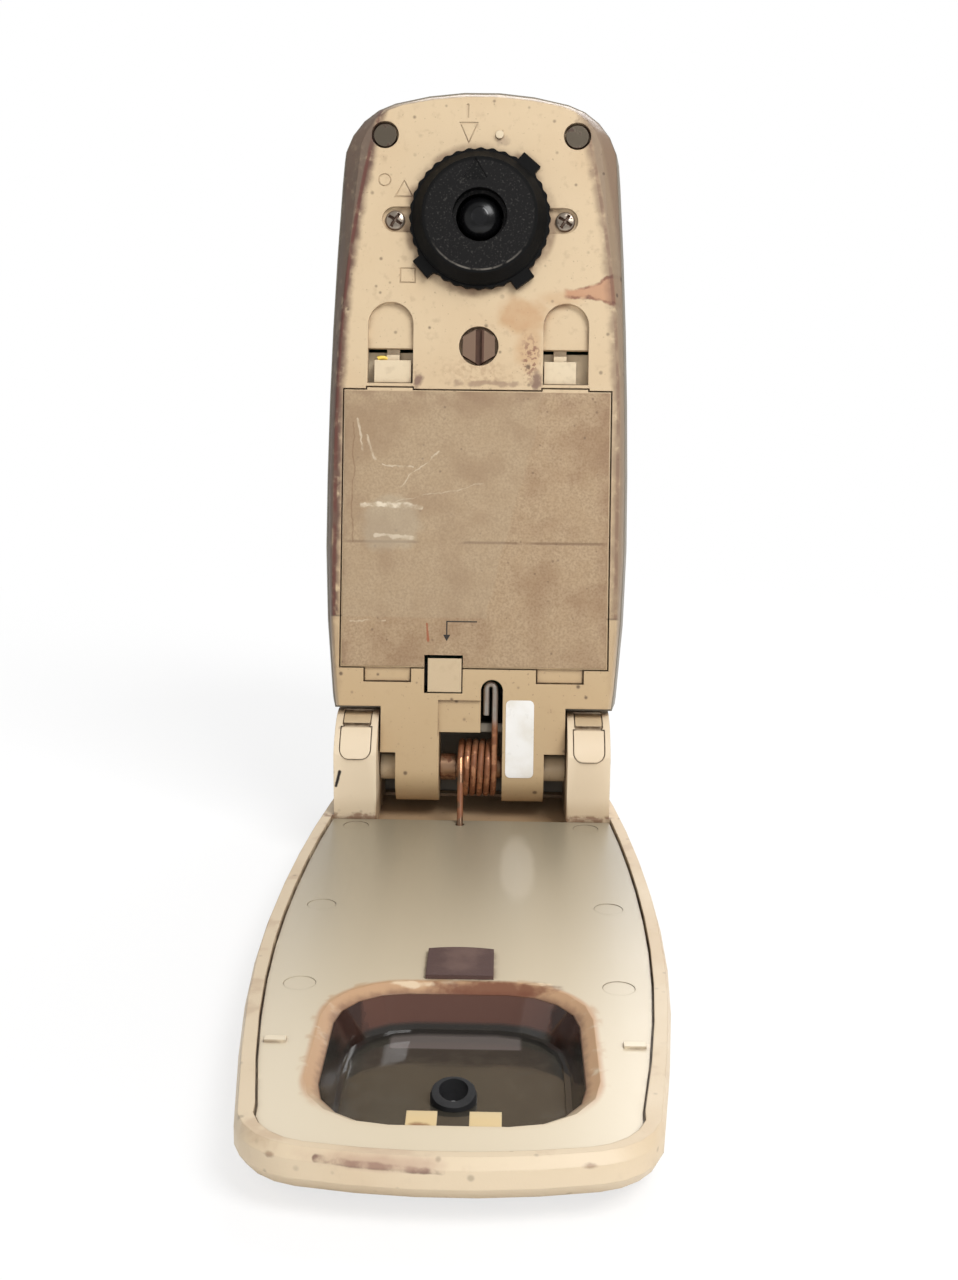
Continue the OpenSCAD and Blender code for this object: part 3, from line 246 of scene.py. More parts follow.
# %% Finishes
def linear(red, green, blue):
    """A colour as read from the photograph, 0 to 255, in the linear light that shaders use."""
    shares = [channel / 255 for channel in (red, green, blue)]
    return [s / 12.92 if s <= 0.04045 else ((s + 0.055) / 1.055) ** 2.4 for s in shares] + [1]


class Finish(Graph):
    """One material: its places, its patterns and its shader."""

    def __init__(self, name, **plain):
        self.material = bpy.data.materials.new(name)
        self.material.use_nodes = True
        super().__init__(self.material.node_tree)
        self.shader = self.tree.nodes["Principled BSDF"]
        for socket, value in plain.items():
            self.shader.inputs[socket.replace("_", " ")].default_value = value
        place = self.node("ShaderNodeTexCoord")["Object"]
        self.place = self.node(
            "ShaderNodeVectorMath", {"operation": "SCALE"}, {0: place, "Scale": 1 / MM}
        )[0]
        parts = self.node("ShaderNodeSeparateXYZ", {}, {0: self.place})
        self.x, self.y, self.z = parts["X"], parts["Y"], parts["Z"]

    def feed(self, socket, wire):
        self.join(wire, self.shader.name, socket)

    def standing(self):
        """(across, along) on the standing instrument, in millimetres."""
        rise = self.z - axis_height
        return self.x, self.y * math.sin(lean) + rise * math.cos(lean)

    def noise(self, size, detail=2, stretch=None):
        """Soft noise from 0 to 1 with features of about that size in millimetres."""
        place = self.place
        if stretch:
            place = self.node(
                "ShaderNodeVectorMath", {"operation": "MULTIPLY"}, {0: place, 1: stretch}
            )[0]
        return self.node(
            "ShaderNodeTexNoise", {}, {"Vector": place, "Scale": 1 / size, "Detail": detail}
        )["Fac"]

    def step(self, value, low, high):
        """0 below low, 1 above high, and smooth between."""
        sockets = {"Value": value, "From Min": low, "From Max": high}
        return self.node("ShaderNodeMapRange", {"interpolation_type": "SMOOTHSTEP"}, sockets)[0]

    def patches(self, size, detail, low, high):
        """Noise cut into soft-edged patches: 0 where it is below low, 1 where above high."""
        return self.step(self.noise(size, detail), low, high)

    def waver(self, size, detail, reach):
        """Noise about zero, which bends a line or frays an edge; `reach` is its whole swing."""
        return (self.noise(size, detail) - 0.5) * reach

    def mix(self, first, second, share):
        settings = {"data_type": "RGBA", "clamp_factor": True}
        return self.node("ShaderNodeMix", settings, {0: share, 6: first, 7: second})[2]

    def specks(self, spacing, size):
        """Small dots, one to a cell, of uneven size."""
        cell = self.node(
            "ShaderNodeTexVoronoi", {}, {"Vector": self.place, "Scale": 1 / spacing}
        )["Distance"]
        return 1 - self.step(cell + self.noise(spacing * 3) * 0.25, size, size + 0.12)

    def blot(self, place, middle, reach, ragged=0.5, size=3.0, soft=0.35):
        """1 in the middle of an oval stain, falling to 0 past a ragged edge."""
        across = (place[0] - middle[0]) / reach[0]
        along = (place[1] - middle[1]) / reach[1]
        frayed = length(across, along) + self.waver(size, 4, 2 * ragged)
        return 1 - self.step(frayed, 1 - soft, 1)

    def band(self, value, middle, half, soft):
        """1 within half of a middle value, 0 beyond soft more."""
        return 1 - self.step(abs(value - middle), half, half + soft)

    def streak(self, place, start, end, half, ragged=1.0):
        """1 on a straight mark from start to end, whose width is uneven."""
        run = (end[0] - start[0], end[1] - start[1])
        off = (place[0] - start[0], place[1] - start[1])
        share = (off[0] * run[0] + off[1] * run[1]) / (run[0] ** 2 + run[1] ** 2)
        share = self.node("ShaderNodeClamp", {}, {0: share})[0]
        aside = (off[0] - share * run[0], off[1] - share * run[1])
        uneven = length(*aside) + self.waver(1.8, 3, half * 2.4 * ragged)
        return 1 - self.step(uneven, half * 0.7, half * 1.7)

    def facing(self, heading):
        """1 on faces that look along a heading, 0 on faces at right angles to it."""
        normal = self.node("ShaderNodeTexCoord")["Normal"]
        sockets = {0: normal, 1: tuple(heading)}
        return self.node("ShaderNodeVectorMath", {"operation": "DOT_PRODUCT"}, sockets)["Value"]

    def crevices(self, reach):
        """1 in corners and grooves, 0 on open faces."""
        found = self.node(
            "ShaderNodeAmbientOcclusion", {"samples": 6, "only_local": False},
            {"Distance": reach * MM},
        )["AO"]
        return 1 - self.step(found, 0.35, 0.95)

    def relief(self, height, depth_mm, edge_mm=0.3):
        """Bump from a height of 0 to 1, on edges that look rounded."""
        rounded = self.node("ShaderNodeBevel", {"samples": 4}, {"Radius": edge_mm * MM})
        sockets = {"Height": height, "Distance": depth_mm * MM, "Normal": rounded["Normal"]}
        self.feed("Normal", self.node("ShaderNodeBump", {}, sockets)["Normal"])


# %% [markdown]
# ## Old cream plastic
# The casing, the shoe and most small pieces are one moulded cream plastic. Age shows as slow
# yellow drifts, specks, and a few real stains that sit where liquid ran. Every corner is darkened
# brown, partly dirt and partly painted shade: the darkening follows ambient occlusion, which finds
# corners without any painting, and noise breaks its edge. The mould's fine grain is a shallow bump.

# %% Cream plastic
CREAM = linear(205, 182, 148)
CREAM_WARM = linear(192, 163, 126)
# A brown for dirt, also used for painted shade in corners and under the ring's edge.
GRIME_AND_SHADE = linear(112, 80, 58)


def cream(name, base=CREAM, warm=CREAM_WARM, corner_grime_and_shade=0.75, marks_and_shading=None, mottle=0.22, spots=0.75):
    """Aged cream plastic. `marks_and_shading` adds this piece's own marks and painted shading to the
    colour.
    """
    finish = Finish(name)
    drift = finish.patches(34, 3, 0.42, 0.68)
    colour = finish.mix(base, warm, drift * 0.4)
    colour = finish.mix(colour, GRIME_AND_SHADE, finish.patches(2.2, 5, 0.56, 0.80) * mottle)
    corners_spared = 0
    if marks_and_shading:
        colour, corners_spared = marks_and_shading(finish, colour)
    # Corners darken brown along the ambient occlusion: partly dirt, partly painted shade.
    corners = finish.crevices(2.0) * finish.patches(4, 4, 0.25, 0.62)
    colour = finish.mix(colour, GRIME_AND_SHADE, corners * corner_grime_and_shade * (1 - corners_spared))
    dots = finish.specks(4.2, 0.16) * finish.patches(16, 2, 0.36, 0.52)
    colour = finish.mix(colour, linear(70, 48, 36), dots * spots)
    finish.feed("Base Color", colour)
    finish.feed("Roughness", finish.noise(3, 3) * 0.16 + 0.38)
    finish.relief(finish.noise(0.35, 2), 0.02)
    return finish.material


# %% [markdown]
# ## The casing's stains
# The photograph shows where this instrument has been: a red-brown wedge at the right of the ring, a
# tan patch below it, a dark crackle beside the stop screw, plum marks at the latches and a brown
# line down both long edges, where a strip of clear tape ends. Each is a ragged oval, a wedge or a
# band in the instrument's own frame, at the place in millimetres where the photograph has it.


# %% Spills
def spills(finish, colour, place):
    """The tan patch, the wedge, the crackle, the plum marks and a smear at the nose."""
    across, along = place
    tan = finish.blot(place, (10.8, 113.6), (8.4, 6.0), 0.55, 6, 0.6)
    tan = tan.larger(finish.blot(place, (20.0, 117.4), (8, 2.8), 0.5, 6, 0.7) * 0.6)
    tan = tan.larger(finish.blot(place, (12.6, 106), (4.8, 9), 0.5, 5, 0.7) * 0.75)
    colour = finish.mix(colour, linear(184, 142, 100), tan * (finish.noise(2, 4) * 0.5 + 0.4))
    spread = finish.step(across, 21, 35)
    wedge = abs(along - 118.7 - spread * 1.2) - spread * spread * 2.9 - 0.9
    wedge = wedge + finish.waver(2.6, 4, 2.2)
    inside = (1 - finish.step(wedge, -0.5, 0.4)) * finish.step(across, 20.6, 22.4)
    rim = finish.band(wedge, -0.1, 0.12, 0.5) * finish.step(across, 20.8, 22.4)
    colour = finish.mix(colour, linear(176, 116, 82), inside * 0.65)
    rim = rim * finish.patches(3, 3, 0.3, 0.6)
    colour = finish.mix(colour, linear(118, 68, 50), rim * 0.8)
    cracked = finish.patches(0.9, 5, 0.46, 0.58)
    crackle = finish.blot(place, (12.9, 102.5), (3.0, 7.6), 0.6, 3, 0.6) * cracked
    colour = finish.mix(colour, linear(124, 80, 64), crackle * 0.75)
    plum = finish.blot(place, (-14.8, 96.9), (1.5, 3.0), 0.8, 2, 0.7)
    plum = plum.larger(finish.blot(place, (14.6, 97.0), (2.0, 3.0), 0.8, 2, 0.7))
    plum = plum.larger(finish.blot(place, (3, 96.2), (13, 1.0), 1.3, 2, 0.8) * 0.6)
    colour = finish.mix(colour, linear(96, 62, 58), plum * 0.75)
    film = finish.blot(place, (0, 99), (15, 5), 0.6, 4, 0.8)
    film = film * finish.patches(1.3, 4, 0.42, 0.6)
    colour = finish.mix(colour, linear(150, 116, 88), film * 0.35)
    smear = finish.blot(place, (5.6, 156.4), (2.2, 1.7), 0.6, 1.5, 0.6)
    return finish.mix(colour, linear(150, 128, 108), smear * 0.5)


# %% [markdown]
# ## The casing's worn edges, with painted shade
# Hands have darkened both long edges, but not where the tape covered them. `inward` is the
# distance in from the edge, which runs straight and then curves in towards the nose, so a strip of
# dirt, a thin line and the flank beyond it are all bands of one value. The flanks turn greyer with
# dirt and painted shade. The left side is in shade, so its strip, line and flank are painted
# darker; the right flank is paler. The nose's rounded edge is painted darker as shade too.

# %% Worn edges
half_width = 35.1
taper_from, taper_slowness = 85, 640
tape_foot = 37.9


def worn_edges(finish, colour, place):
    """Dirt along both long edges and on the flanks, painted shade on the left side and on the nose's
    rounded edge.
    """
    across, along = place
    taper = (along - taper_from).larger(0)
    inward = half_width - taper * taper / taper_slowness - abs(across)
    shaded_left = 1 - finish.step(across, -8, 8)
    taped = finish.step(along, tape_foot - 0.3, tape_foot + 0.3) * 0.75 + 0.25
    ragged = finish.patches(2.6, 4, 0.20, 0.50)
    strip = 1 - finish.step(inward + finish.waver(4, 3, 2.4), 0.2, 2.6)
    # The strip of dirt is heavier on the left, as painted shade.
    strip = strip * ragged * taped * (shaded_left * 0.4 + 0.55)
    colour = finish.mix(colour, linear(90, 60, 50), strip)
    tape_end = finish.band(along, tape_foot, 0.1, 0.25) * finish.step(abs(across), 30, 31)
    colour = finish.mix(colour, linear(60, 40, 30), tape_end * 0.5)
    flank = 1 - finish.step(inward, -0.9, -0.1)
    # The flanks turn greyer with dirt and painted shade, the left one darker as painted shade.
    flank_colour = finish.mix(linear(140, 120, 98), linear(106, 90, 76), shaded_left)
    flank = flank * finish.patches(9, 3, 0.1, 0.4)
    colour = finish.mix(colour, flank_colour, flank * 0.85)
    # Painted shade on the nose's rounded edge, where it turns away from the underside.
    rounded = 1 - finish.step(finish.facing(-into_body), 0.5, 0.9)
    nose_edge_shade = rounded * finish.step(along, 146, 158) * ragged
    outer_line = (1 - finish.step(inward, -3.4, -2.2)) * (1 - shaded_left)
    colour = finish.mix(colour, linear(120, 96, 78), nose_edge_shade.larger(outer_line) * 0.6)
    # The thin line is darker on the left, as painted shade.
    line = finish.band(inward, 0.0, 0.2, 0.45) * finish.patches(6, 4, 0.36, 0.52)
    return finish.mix(colour, linear(96, 54, 44), line * taped * (shaded_left * 0.5 + 0.4))


# %% [markdown]
# ## Stains, painted shade and painted light, one function for each moulding
# A stain function takes the colour so far and lays one mark over another; the casing's also paints
# shade, and the shoe's paints light on the ears. It also returns where the corners are spared their
# darkening of dirt and painted shade, as by the moulded marks at the nose.

# %% Stains and painted shade on the casing
ring_edge = 17.6


def casing_marks_and_shade(finish, colour):
    """Tan near the hinge, the spills, a painted shadow under the ring's edge, worn edges with
    painted shade, and fine specks.
    """
    place = finish.standing()
    across, along = place
    low = 1 - finish.step(along, 12, 74)
    colour = finish.mix(colour, linear(184, 156, 116), low * 0.75)
    colour = spills(finish, colour, place)
    spoke = length(across, along - lens_along)
    # Painted shadow under the ring's edge, broken up by noise.
    ring_shadow = finish.band(spoke, ring_edge, 0.8, 1.6) * finish.patches(5, 3, 0.35, 0.7)
    colour = finish.mix(colour, GRIME_AND_SHADE, ring_shadow * 0.6)
    colour = worn_edges(finish, colour, place)
    speckle = finish.patches(0.7, 3, 0.67, 0.74)
    colour = finish.mix(colour, linear(84, 56, 42), speckle * 0.35)
    marks = finish.step(along, 120, 123) * finish.step(spoke, 20, 21.5)
    return colour, marks * (1 - finish.step(abs(across), 27, 29)) * 0.85


# %% Stains and painted light on the shoe, stains on the latches
def shoe_marks_and_light(finish, colour):
    """A thin rub on the front lip, rust at the hinge, a scratch on the left ear, and painted light
    that makes the ears paler.
    """
    upright = (finish.x, finish.z)
    front = 1 - finish.step(finish.y, -168.4, -166.5)
    rub = finish.streak(upright, (-19.5, 10.0), (-0.5, 9.4), 0.34, 0.6) * front
    rub = rub * finish.patches(3.2, 4, 0.32, 0.60)
    colour = finish.mix(colour, linear(92, 60, 52), rub * 0.85)
    faded = finish.blot(upright, (-10, 10.2), (13, 1.6), 0.5, 4, 0.8) * front
    colour = finish.mix(colour, linear(172, 138, 118), faded * 0.6)
    for spot in ((-26.5, 9.6), (21.4, 9.6)):
        brown = finish.blot(upright, spot, (1.4, 0.6), 0.6, 1.2, 0.8)
        colour = finish.mix(colour, linear(130, 94, 70), brown * front * 0.6)
    between = (1 - finish.step(abs(finish.x), 23.2, 24.2)) * finish.step(finish.y, -15.5, -14)
    between = between * (1 - finish.step(finish.z, 13, 16))
    colour = finish.mix(colour, linear(152, 120, 86), between * 0.75)
    # Painted light: the ears above z 12 are made paler, as where light falls on their fronts.
    colour = finish.mix(colour, linear(238, 220, 192), finish.step(finish.z, 12, 17) * 0.45)
    base = finish.band(finish.y, -13.4, 0.8, 1.0) * finish.band(finish.z, 10.9, 0.5, 0.8)
    base = base * finish.patches(2.4, 4, 0.42, 0.6)
    colour = finish.mix(colour, linear(112, 70, 44), base * 0.7)
    scratch = finish.streak(upright, (-33.4, 18.6), (-32.5, 22.2), 0.32, 0.4)
    scratch = scratch * finish.step(finish.y, -40, -30)
    colour = finish.mix(colour, linear(30, 20, 18), scratch)
    rim = finish.patches(7, 4, 0.55, 0.7) * finish.band(finish.z, 10.6, 0.6, 0.8)
    colour = finish.mix(colour, linear(168, 134, 104), rim * 0.35)
    return colour, (1 - finish.step(finish.y, -150, -120)) * 0.5


def latch_stains(finish, colour):
    """A faint grey-brown film where fingers push; the button near the hinge is darker."""
    film = finish.patches(2, 3, 0.5, 0.75)
    colour = finish.mix(colour, linear(168, 148, 120), film * 0.3)
    button = 1 - finish.step(finish.standing()[1], 40, 60)
    return finish.mix(colour, linear(184, 158, 122), button * 0.6), 0.4


# %% [markdown]
# ## The deck plate
# The plate over the shoe is a harder, shinier sheet. Its colour is darkened to grey-green towards
# the hinge as painted shade from the instrument, and is cream at the front. Soft pale bands along
# its length and one pale oval are painted sheen, and pale lines on two small ribs are painted
# highlights.
# Its window has a sloped edge soaked with a brown stain, darkest behind the middle, with two pale
# chips. Corners darken with dirt and painted shade. `rim` is the distance out from the window's
# rounded corners, so every ring round it is a band of it.


# %% The window's edge
window_half, window_rear, window_front, window_corner = 24.3, -107.8, -160.2, 15


def window_edge(finish, colour, place):
    """The soaked slope, its dark run, two pale chips, two cream tabs and a faint halo."""
    centre = (window_rear + window_front) / 2
    half_length = (window_rear - window_front) / 2
    beyond_x = (abs(finish.x) - (window_half - window_corner)).larger(0)
    beyond_y = (abs(finish.y - centre) - (half_length - window_corner)).larger(0)
    rim = length(beyond_x, beyond_y) - window_corner
    behind = finish.step(finish.y, -158, -146)
    soaked = finish.band(rim, -1.9, 1.9, 1.2) * finish.patches(3.5, 4, 0.2, 0.45)
    colour = finish.mix(colour, linear(186, 142, 102), soaked * (behind * 0.75 + 0.1))
    inner = 1 - finish.step(rim + finish.waver(2.2, 4, 2.0), -2.6, -0.9)
    colour = finish.mix(colour, linear(124, 88, 66), inner * behind * 0.8)
    dark = finish.blot(place, (7, -109.4), (14, 2.6), 0.7, 3, 0.6)
    colour = finish.mix(colour, linear(106, 54, 30), dark * 0.85)
    chips = finish.blot(place, (-9.5, -108.4), (5.5, 0.9), 0.7, 2, 0.6)
    chips = chips.larger(finish.blot(place, (15.4, -108.2), (3, 0.8), 0.7, 2, 0.6))
    colour = finish.mix(colour, linear(228, 206, 174), chips * 0.8)
    tabs = finish.band(finish.x, 0.65, 8.2, 0.3) * (1 - finish.step(rim, -0.7, -0.2))
    tabs = tabs * (1 - behind)
    colour = finish.mix(colour, linear(218, 190, 134), tabs * 0.8)
    spot = finish.blot(place, (-4.7, -158.6), (2.2, 1.5), 0.5, 1.2, 0.7)
    colour = finish.mix(colour, linear(132, 88, 52), spot * tabs * 0.9)
    halo = finish.band(rim, 0.6, 0.4, 1.0) * finish.patches(4, 4, 0.50, 0.66)
    return finish.mix(colour, linear(186, 150, 112), halo * behind * 0.6)


# %% Deck
def deck_finish():
    finish = Finish("deck", Coat_Weight=0.25, Coat_Roughness=0.3)
    place = (finish.x, finish.y)
    # Painted shade: the plate is darker and greyer towards the hinge, where the instrument shades
    # it.
    away = finish.step(finish.y, -150, -2)
    colour = finish.mix(linear(214, 200, 174), linear(140, 130, 110), away)
    # Painted sheen: soft pale streaks along the plate's length.
    sheen_bands = finish.step(finish.noise(16, 1, (1, 0.06, 1)), 0.35, 0.65)
    colour = finish.mix(colour, linear(222, 208, 182), sheen_bands * 0.14)
    # Painted glare: one pale oval on the plate.
    painted_glare = finish.blot(place, (11.2, -46), (4.6, 24), 0.1, 8)
    colour = finish.mix(colour, linear(216, 204, 184), painted_glare * 0.28)
    colour = window_edge(finish, colour, place)
    # Painted highlight along the tops of the two small ribs.
    rib = finish.band(finish.y, -132.6, 1.0, 0.1) * finish.band(abs(finish.x), 31.2, 2.4, 0.2)
    colour = finish.mix(colour, linear(228, 212, 184), rib * 0.7)
    # Corners darken along the ambient occlusion: partly dirt, partly painted shade.
    corners = finish.crevices(1.4) * finish.patches(4, 4, 0.3, 0.6)
    colour = finish.mix(colour, linear(92, 60, 40), corners * 0.8)
    colour = finish.mix(colour, linear(70, 50, 40), finish.specks(6.0, 0.03) * 0.6)
    finish.feed("Base Color", colour)
    finish.feed("Roughness", finish.noise(4, 3, (2.4, 0.35, 1)) * 0.12 + 0.3)
    finish.relief(finish.noise(0.5, 2), 0.008)
    return finish.material


# %% [markdown]
# ## The label
# A printed film covers the battery cover. It is a bare sheet here, faintly mottled and brown at
# its ends, with one crease right across. Clear tape lies over its left half: a little glossier,
# with an edge line and wrinkles. The light that the wrinkles catch is painted into the colour as
# pale streaks. Each wrinkle is a streak from one place to another, with its half width and its
# shine, the strength of that painted highlight.


# %% Wrinkles in the tape
WRINKLES = [
    ((-28.2, 65.9), (-13.6, 65.2), 0.42, 0.85), ((-24.5, 58.0), (-16.0, 57.4), 0.4, 0.5),
    ((-29.4, 87.0), (-28.4, 79.0), 0.18, 0.5), ((-27.4, 83.0), (-25.4, 77.0), 0.26, 0.5),
    ((-23.5, 75.6), (-15.5, 74.6), 0.16, 0.4), ((-19.0, 70.4), (-9.0, 79.0), 0.12, 0.4),
    ((-31.0, 36.6), (-22.0, 36.9), 0.14, 0.4), ((-21.0, 66.0), (2.0, 71.5), 0.10, 0.25),
]


def wrinkles(finish, bent):
    """All the wrinkles as one mask, broken up by noise."""
    shown = 0
    for start, end, half, shine in WRINKLES:
        shown = finish.streak(bent, start, end, half) * shine + shown
    shown = finish.node("ShaderNodeClamp", {}, {0: shown})[0]
    return shown * finish.patches(3.0, 3, 0.30, 0.56)


# %% Label
def label_finish():
    finish = Finish("label")
    across, along = finish.standing()
    place = (across, along)
    bent = (across + finish.waver(6, 3, 3.2), along + finish.waver(5, 3, 3.2))
    mottled = finish.noise(0.55, 4)
    colour = linear(176, 151, 120)
    colour = finish.mix(colour, linear(150, 125, 95), finish.step(mottled, 0.3, 0.75))
    clouds = finish.patches(4, 4, 0.35, 0.72)
    colour = finish.mix(colour, linear(160, 132, 98), clouds * 0.3)
    browned = finish.patches(12, 5, 0.44, 0.66)
    colour = finish.mix(colour, linear(134, 102, 72), browned * 0.5)
    ends = finish.step(abs(across), 29, 34).larger(finish.step(along, 86, 95))
    worn = ends * finish.patches(5, 4, 0.4, 0.62)
    colour = finish.mix(colour, linear(124, 90, 66), worn * 0.5)
    colour = finish.mix(colour, linear(84, 58, 44), finish.specks(3.4, 0.13) * 0.55)
    crease = finish.band(along, 56.5, 0.12, 0.4) * finish.patches(9, 3, 0.44, 0.56)
    colour = finish.mix(colour, linear(116, 90, 66), crease * 0.7)
    tape = finish.step((along - 60) * 0.25 - across + finish.waver(12, 2, 5), -9, -8)
    tape = tape * finish.step(along, tape_foot - 0.5, tape_foot + 0.1)
    colour = finish.mix(colour, linear(172, 154, 128), tape * 0.25)
    cloudy = finish.blot(place, (-21, 61), (9, 8), 0.4, 5)
    colour = finish.mix(colour, linear(178, 166, 144), cloudy * 0.35)
    wrinkles_and_glints = wrinkles(finish, bent)
    # Painted highlight: the wrinkles are made paler where they would catch the light.
    colour = finish.mix(colour, linear(236, 222, 198), wrinkles_and_glints * 0.8)
    edge_line = finish.streak(bent, (-30.6, 86), (-30.8, 56), 0.14)
    colour = finish.mix(colour, linear(132, 104, 78), edge_line * 0.6)
    rust = finish.streak(place, (-11.8, 36.2), (-11.4, 32.0), 0.22)
    colour = finish.mix(colour, linear(150, 70, 34), rust * 0.75)
    finish.feed("Base Color", colour)
    finish.feed("Roughness", 0.44 - tape * 0.16 + mottled * 0.1)
    finish.relief(mottled * 0.15 + wrinkles_and_glints * 0.6 + tape * 0.3 - crease * 0.5, 0.05, 0.05)
    return finish.material


# %% [markdown]
# ## Grained, polished and smoked plastic
# The top half of the body, the target ring and the rubber pieces are grained mouldings with pale
# dust. The filter ring is a duller black, with a pointer and fine scratches on its face. The nose,
# the glass and the display's window are polished. The tray in the shoe is smoked clear plastic.


# %% Grained mouldings
def moulded(name, colour, dust, roughness=0.5, grain=0.03, edge_mm=0.3, share=0.35, specular=0.5):
    """A textured moulding with pale dust in its corners and on its faces."""
    finish = Finish(name, Specular_IOR_Level=specular)
    patches = finish.patches(7, 4, 0.40, 0.70) * share
    shade = finish.mix(colour, dust, patches)
    shade = finish.mix(shade, dust, finish.crevices(1.5) * (0.5 * share))
    shade = finish.mix(shade, dust, finish.specks(2.4, 0.03) * 0.5)
    finish.feed("Base Color", shade)
    finish.feed("Roughness", finish.noise(2.5, 3) * 0.2 + (roughness - 0.1))
    finish.relief(finish.noise(0.32, 3), grain, edge_mm)
    return finish.material


# %% The filter ring
ring_face = 13.5


def ring_finish():
    """Black, with fine scratches on its face and dust at the edge of that face."""
    finish = Finish("ring_black", Specular_IOR_Level=0.14)
    across, along = finish.standing()
    spoke = length(across, along - lens_along)
    outward = finish.facing(-into_body)
    beyond_face = finish.step(spoke, ring_face - 0.3, ring_face + 0.3)
    worn = finish.step(outward, 0.9, 0.98) * (1 - beyond_face)
    shade = finish.mix(linear(5, 5, 5), linear(20, 19, 19), worn)
    inset = (150.2 - along) * 0.56 - abs(across + 1.2)
    pointer = finish.step(inset, -0.1, 0.1) * finish.step(along, 145.2, 145.5)
    shade = finish.mix(shade, linear(8, 8, 8), pointer * 0.85)
    fine = finish.patches(0.5, 4, 0.56, 0.70) * 0.35
    shade = finish.mix(shade, linear(84, 82, 78), fine * worn)
    dust = finish.band(spoke, ring_face, 0.08, 0.25) * (1 - finish.step(along, 124, 131))
    dust = dust * finish.patches(3, 3, 0.36, 0.56)
    shade = finish.mix(shade, linear(128, 122, 114), dust * 0.6)
    finish.feed("Base Color", shade)
    finish.feed("Roughness", finish.noise(2.5, 3) * 0.2 + 0.45)
    finish.relief(finish.noise(0.4, 3), 0.03, 0.2)
    return finish.material


# %% Polished and smoked plastic
def polished(name, colour, roughness, **plain):
    """A smooth piece with faint smears."""
    finish = Finish(name, **plain)
    smears = finish.noise(5, 4)
    paler = [min(1, share * 1.6 + 0.01) for share in colour[:3]] + [1]
    finish.feed("Base Color", finish.mix(colour, paler, smears * 0.3))
    finish.feed("Roughness", smears * 0.1 + roughness)
    return finish.material


def smoked_tray():
    """Smoked clear plastic, dusty at its foot and stained brown at its rear wall."""
    finish = Finish("smoked_tray", Coat_Weight=0.5, Coat_Roughness=0.06, IOR=1.49)
    place = (finish.x, finish.y)
    low = 1 - finish.step(finish.z, 1.7, 2.6)
    dust = finish.patches(3, 5, 0.45, 0.7)
    colour = finish.mix(linear(48, 44, 40), linear(74, 69, 58), low * 0.5 + dust * 0.2)
    hazy = finish.band(finish.x, -0.4, 11.5, 1.0) * finish.band(finish.y, -113.6, 4.0, 0.8) * low
    colour = finish.mix(colour, linear(132, 122, 118), hazy * 0.6)
    brown = finish.step(finish.z, 3.4, 4.4) * finish.step(finish.y, -128, -112)
    colour = finish.mix(colour, linear(112, 72, 58), brown * 0.75)
    # Darker patches in both rear corners of the tray.
    for side in (-1, 1):
        rear_corner_dark = finish.blot(place, (side * 20.5, -116.5), (4.6, 5.0), 0.4, 3) * (1 - low)
        colour = finish.mix(colour, linear(46, 28, 22), rear_corner_dark * 0.8)
    colour = finish.mix(colour, linear(170, 150, 120), finish.specks(4.0, 0.03) * 0.5)
    finish.feed("Base Color", colour)
    finish.feed("Roughness", dust * 0.12 + 0.1)
    finish.feed("Alpha", low * 0.03 + 0.9)
    return finish.material


# %% [markdown]
# ## Metal
# The spring and its shaft are steel that has rusted brown, with brighter steel left in patches.
# The spring's two legs have stayed greyer than its curls. The screws are plated, and rusty in
# their slots. Rust isn't metal, so the Metallic socket is fed by the inverse of the rust mask,
# and the roughness goes up with it.


# %% Metals
def rusted(name, steel, rust, amount, size=1.6, corner=1.0, sheltered=False, slot=None):
    """Steel under a broken layer of rust; `amount` is about the share that it covers.

    `sheltered` keeps the spring's legs grey, and `slot` is where a rusty slot lies across.
    """
    finish = Finish(name)
    cover = finish.step(finish.noise(size, 5), 0.78 - amount * 0.5, 0.88 - amount * 0.5)
    cover = cover.larger(finish.crevices(1.2) * corner)
    if slot is not None:
        cover = cover.larger(finish.band(finish.x, slot, 1.0, 0.15))
    if sheltered:
        foot = 1 - finish.step(finish.y, -9.5, -7.0)
        steel = finish.mix(steel, linear(120, 96, 76), foot)
        grey = finish.step(finish.standing()[1], 9.5, 13.0)
        cover = cover * (1 - grey * 0.8)
        steel = finish.mix(steel, linear(176, 168, 158), grey)
    shade = finish.mix(rust, [share * 0.45 for share in rust[:3]] + [1], finish.noise(0.8, 3))
    finish.feed("Base Color", finish.mix(steel, shade, cover))
    finish.feed("Metallic", 0.8 - cover * 0.7)
    finish.feed("Roughness", cover * 0.3 + 0.28)
    finish.relief(cover * 0.6 + finish.noise(0.3, 2) * 0.4, 0.03, 0.12)
    return finish.material


# %% [markdown]
# ## Handing out the finishes
# Each CAD node gets a finish of its own kind. The pieces inside the body are seldom seen, but they
# are part of the object, so boards, cells, sockets and screws have theirs as well.

# %% Make the finishes
casing_cream = cream("casing_cream", marks_and_shading=casing_marks_and_shade)
shoe_cream = cream(
    "shoe_cream", linear(213, 194, 165), marks_and_shading=shoe_marks_and_light, mottle=0.06, spots=0.35
)
latch_cream = cream(
    "latch_cream", linear(214, 196, 166), linear(206, 184, 148), 0.8, latch_stains, mottle=0.08
)
grey_shell = moulded(
    "grey_shell", linear(132, 124, 111), linear(172, 160, 140), 0.52, edge_mm=0.9, share=0.16
)
target_black = moulded(
    "target_black", linear(20, 20, 21), linear(74, 74, 76), grain=0.02, edge_mm=0.2, share=0.3,
    specular=0.3,
)
dark_plastic = moulded("dark_plastic", linear(40, 40, 42), linear(84, 80, 74))
nose_black = polished("nose_black", linear(5, 5, 6), 0.2, Specular_IOR_Level=0.3)
lens_glass = polished("lens_glass", linear(5, 5, 7), 0.08, Specular_IOR_Level=0.5)
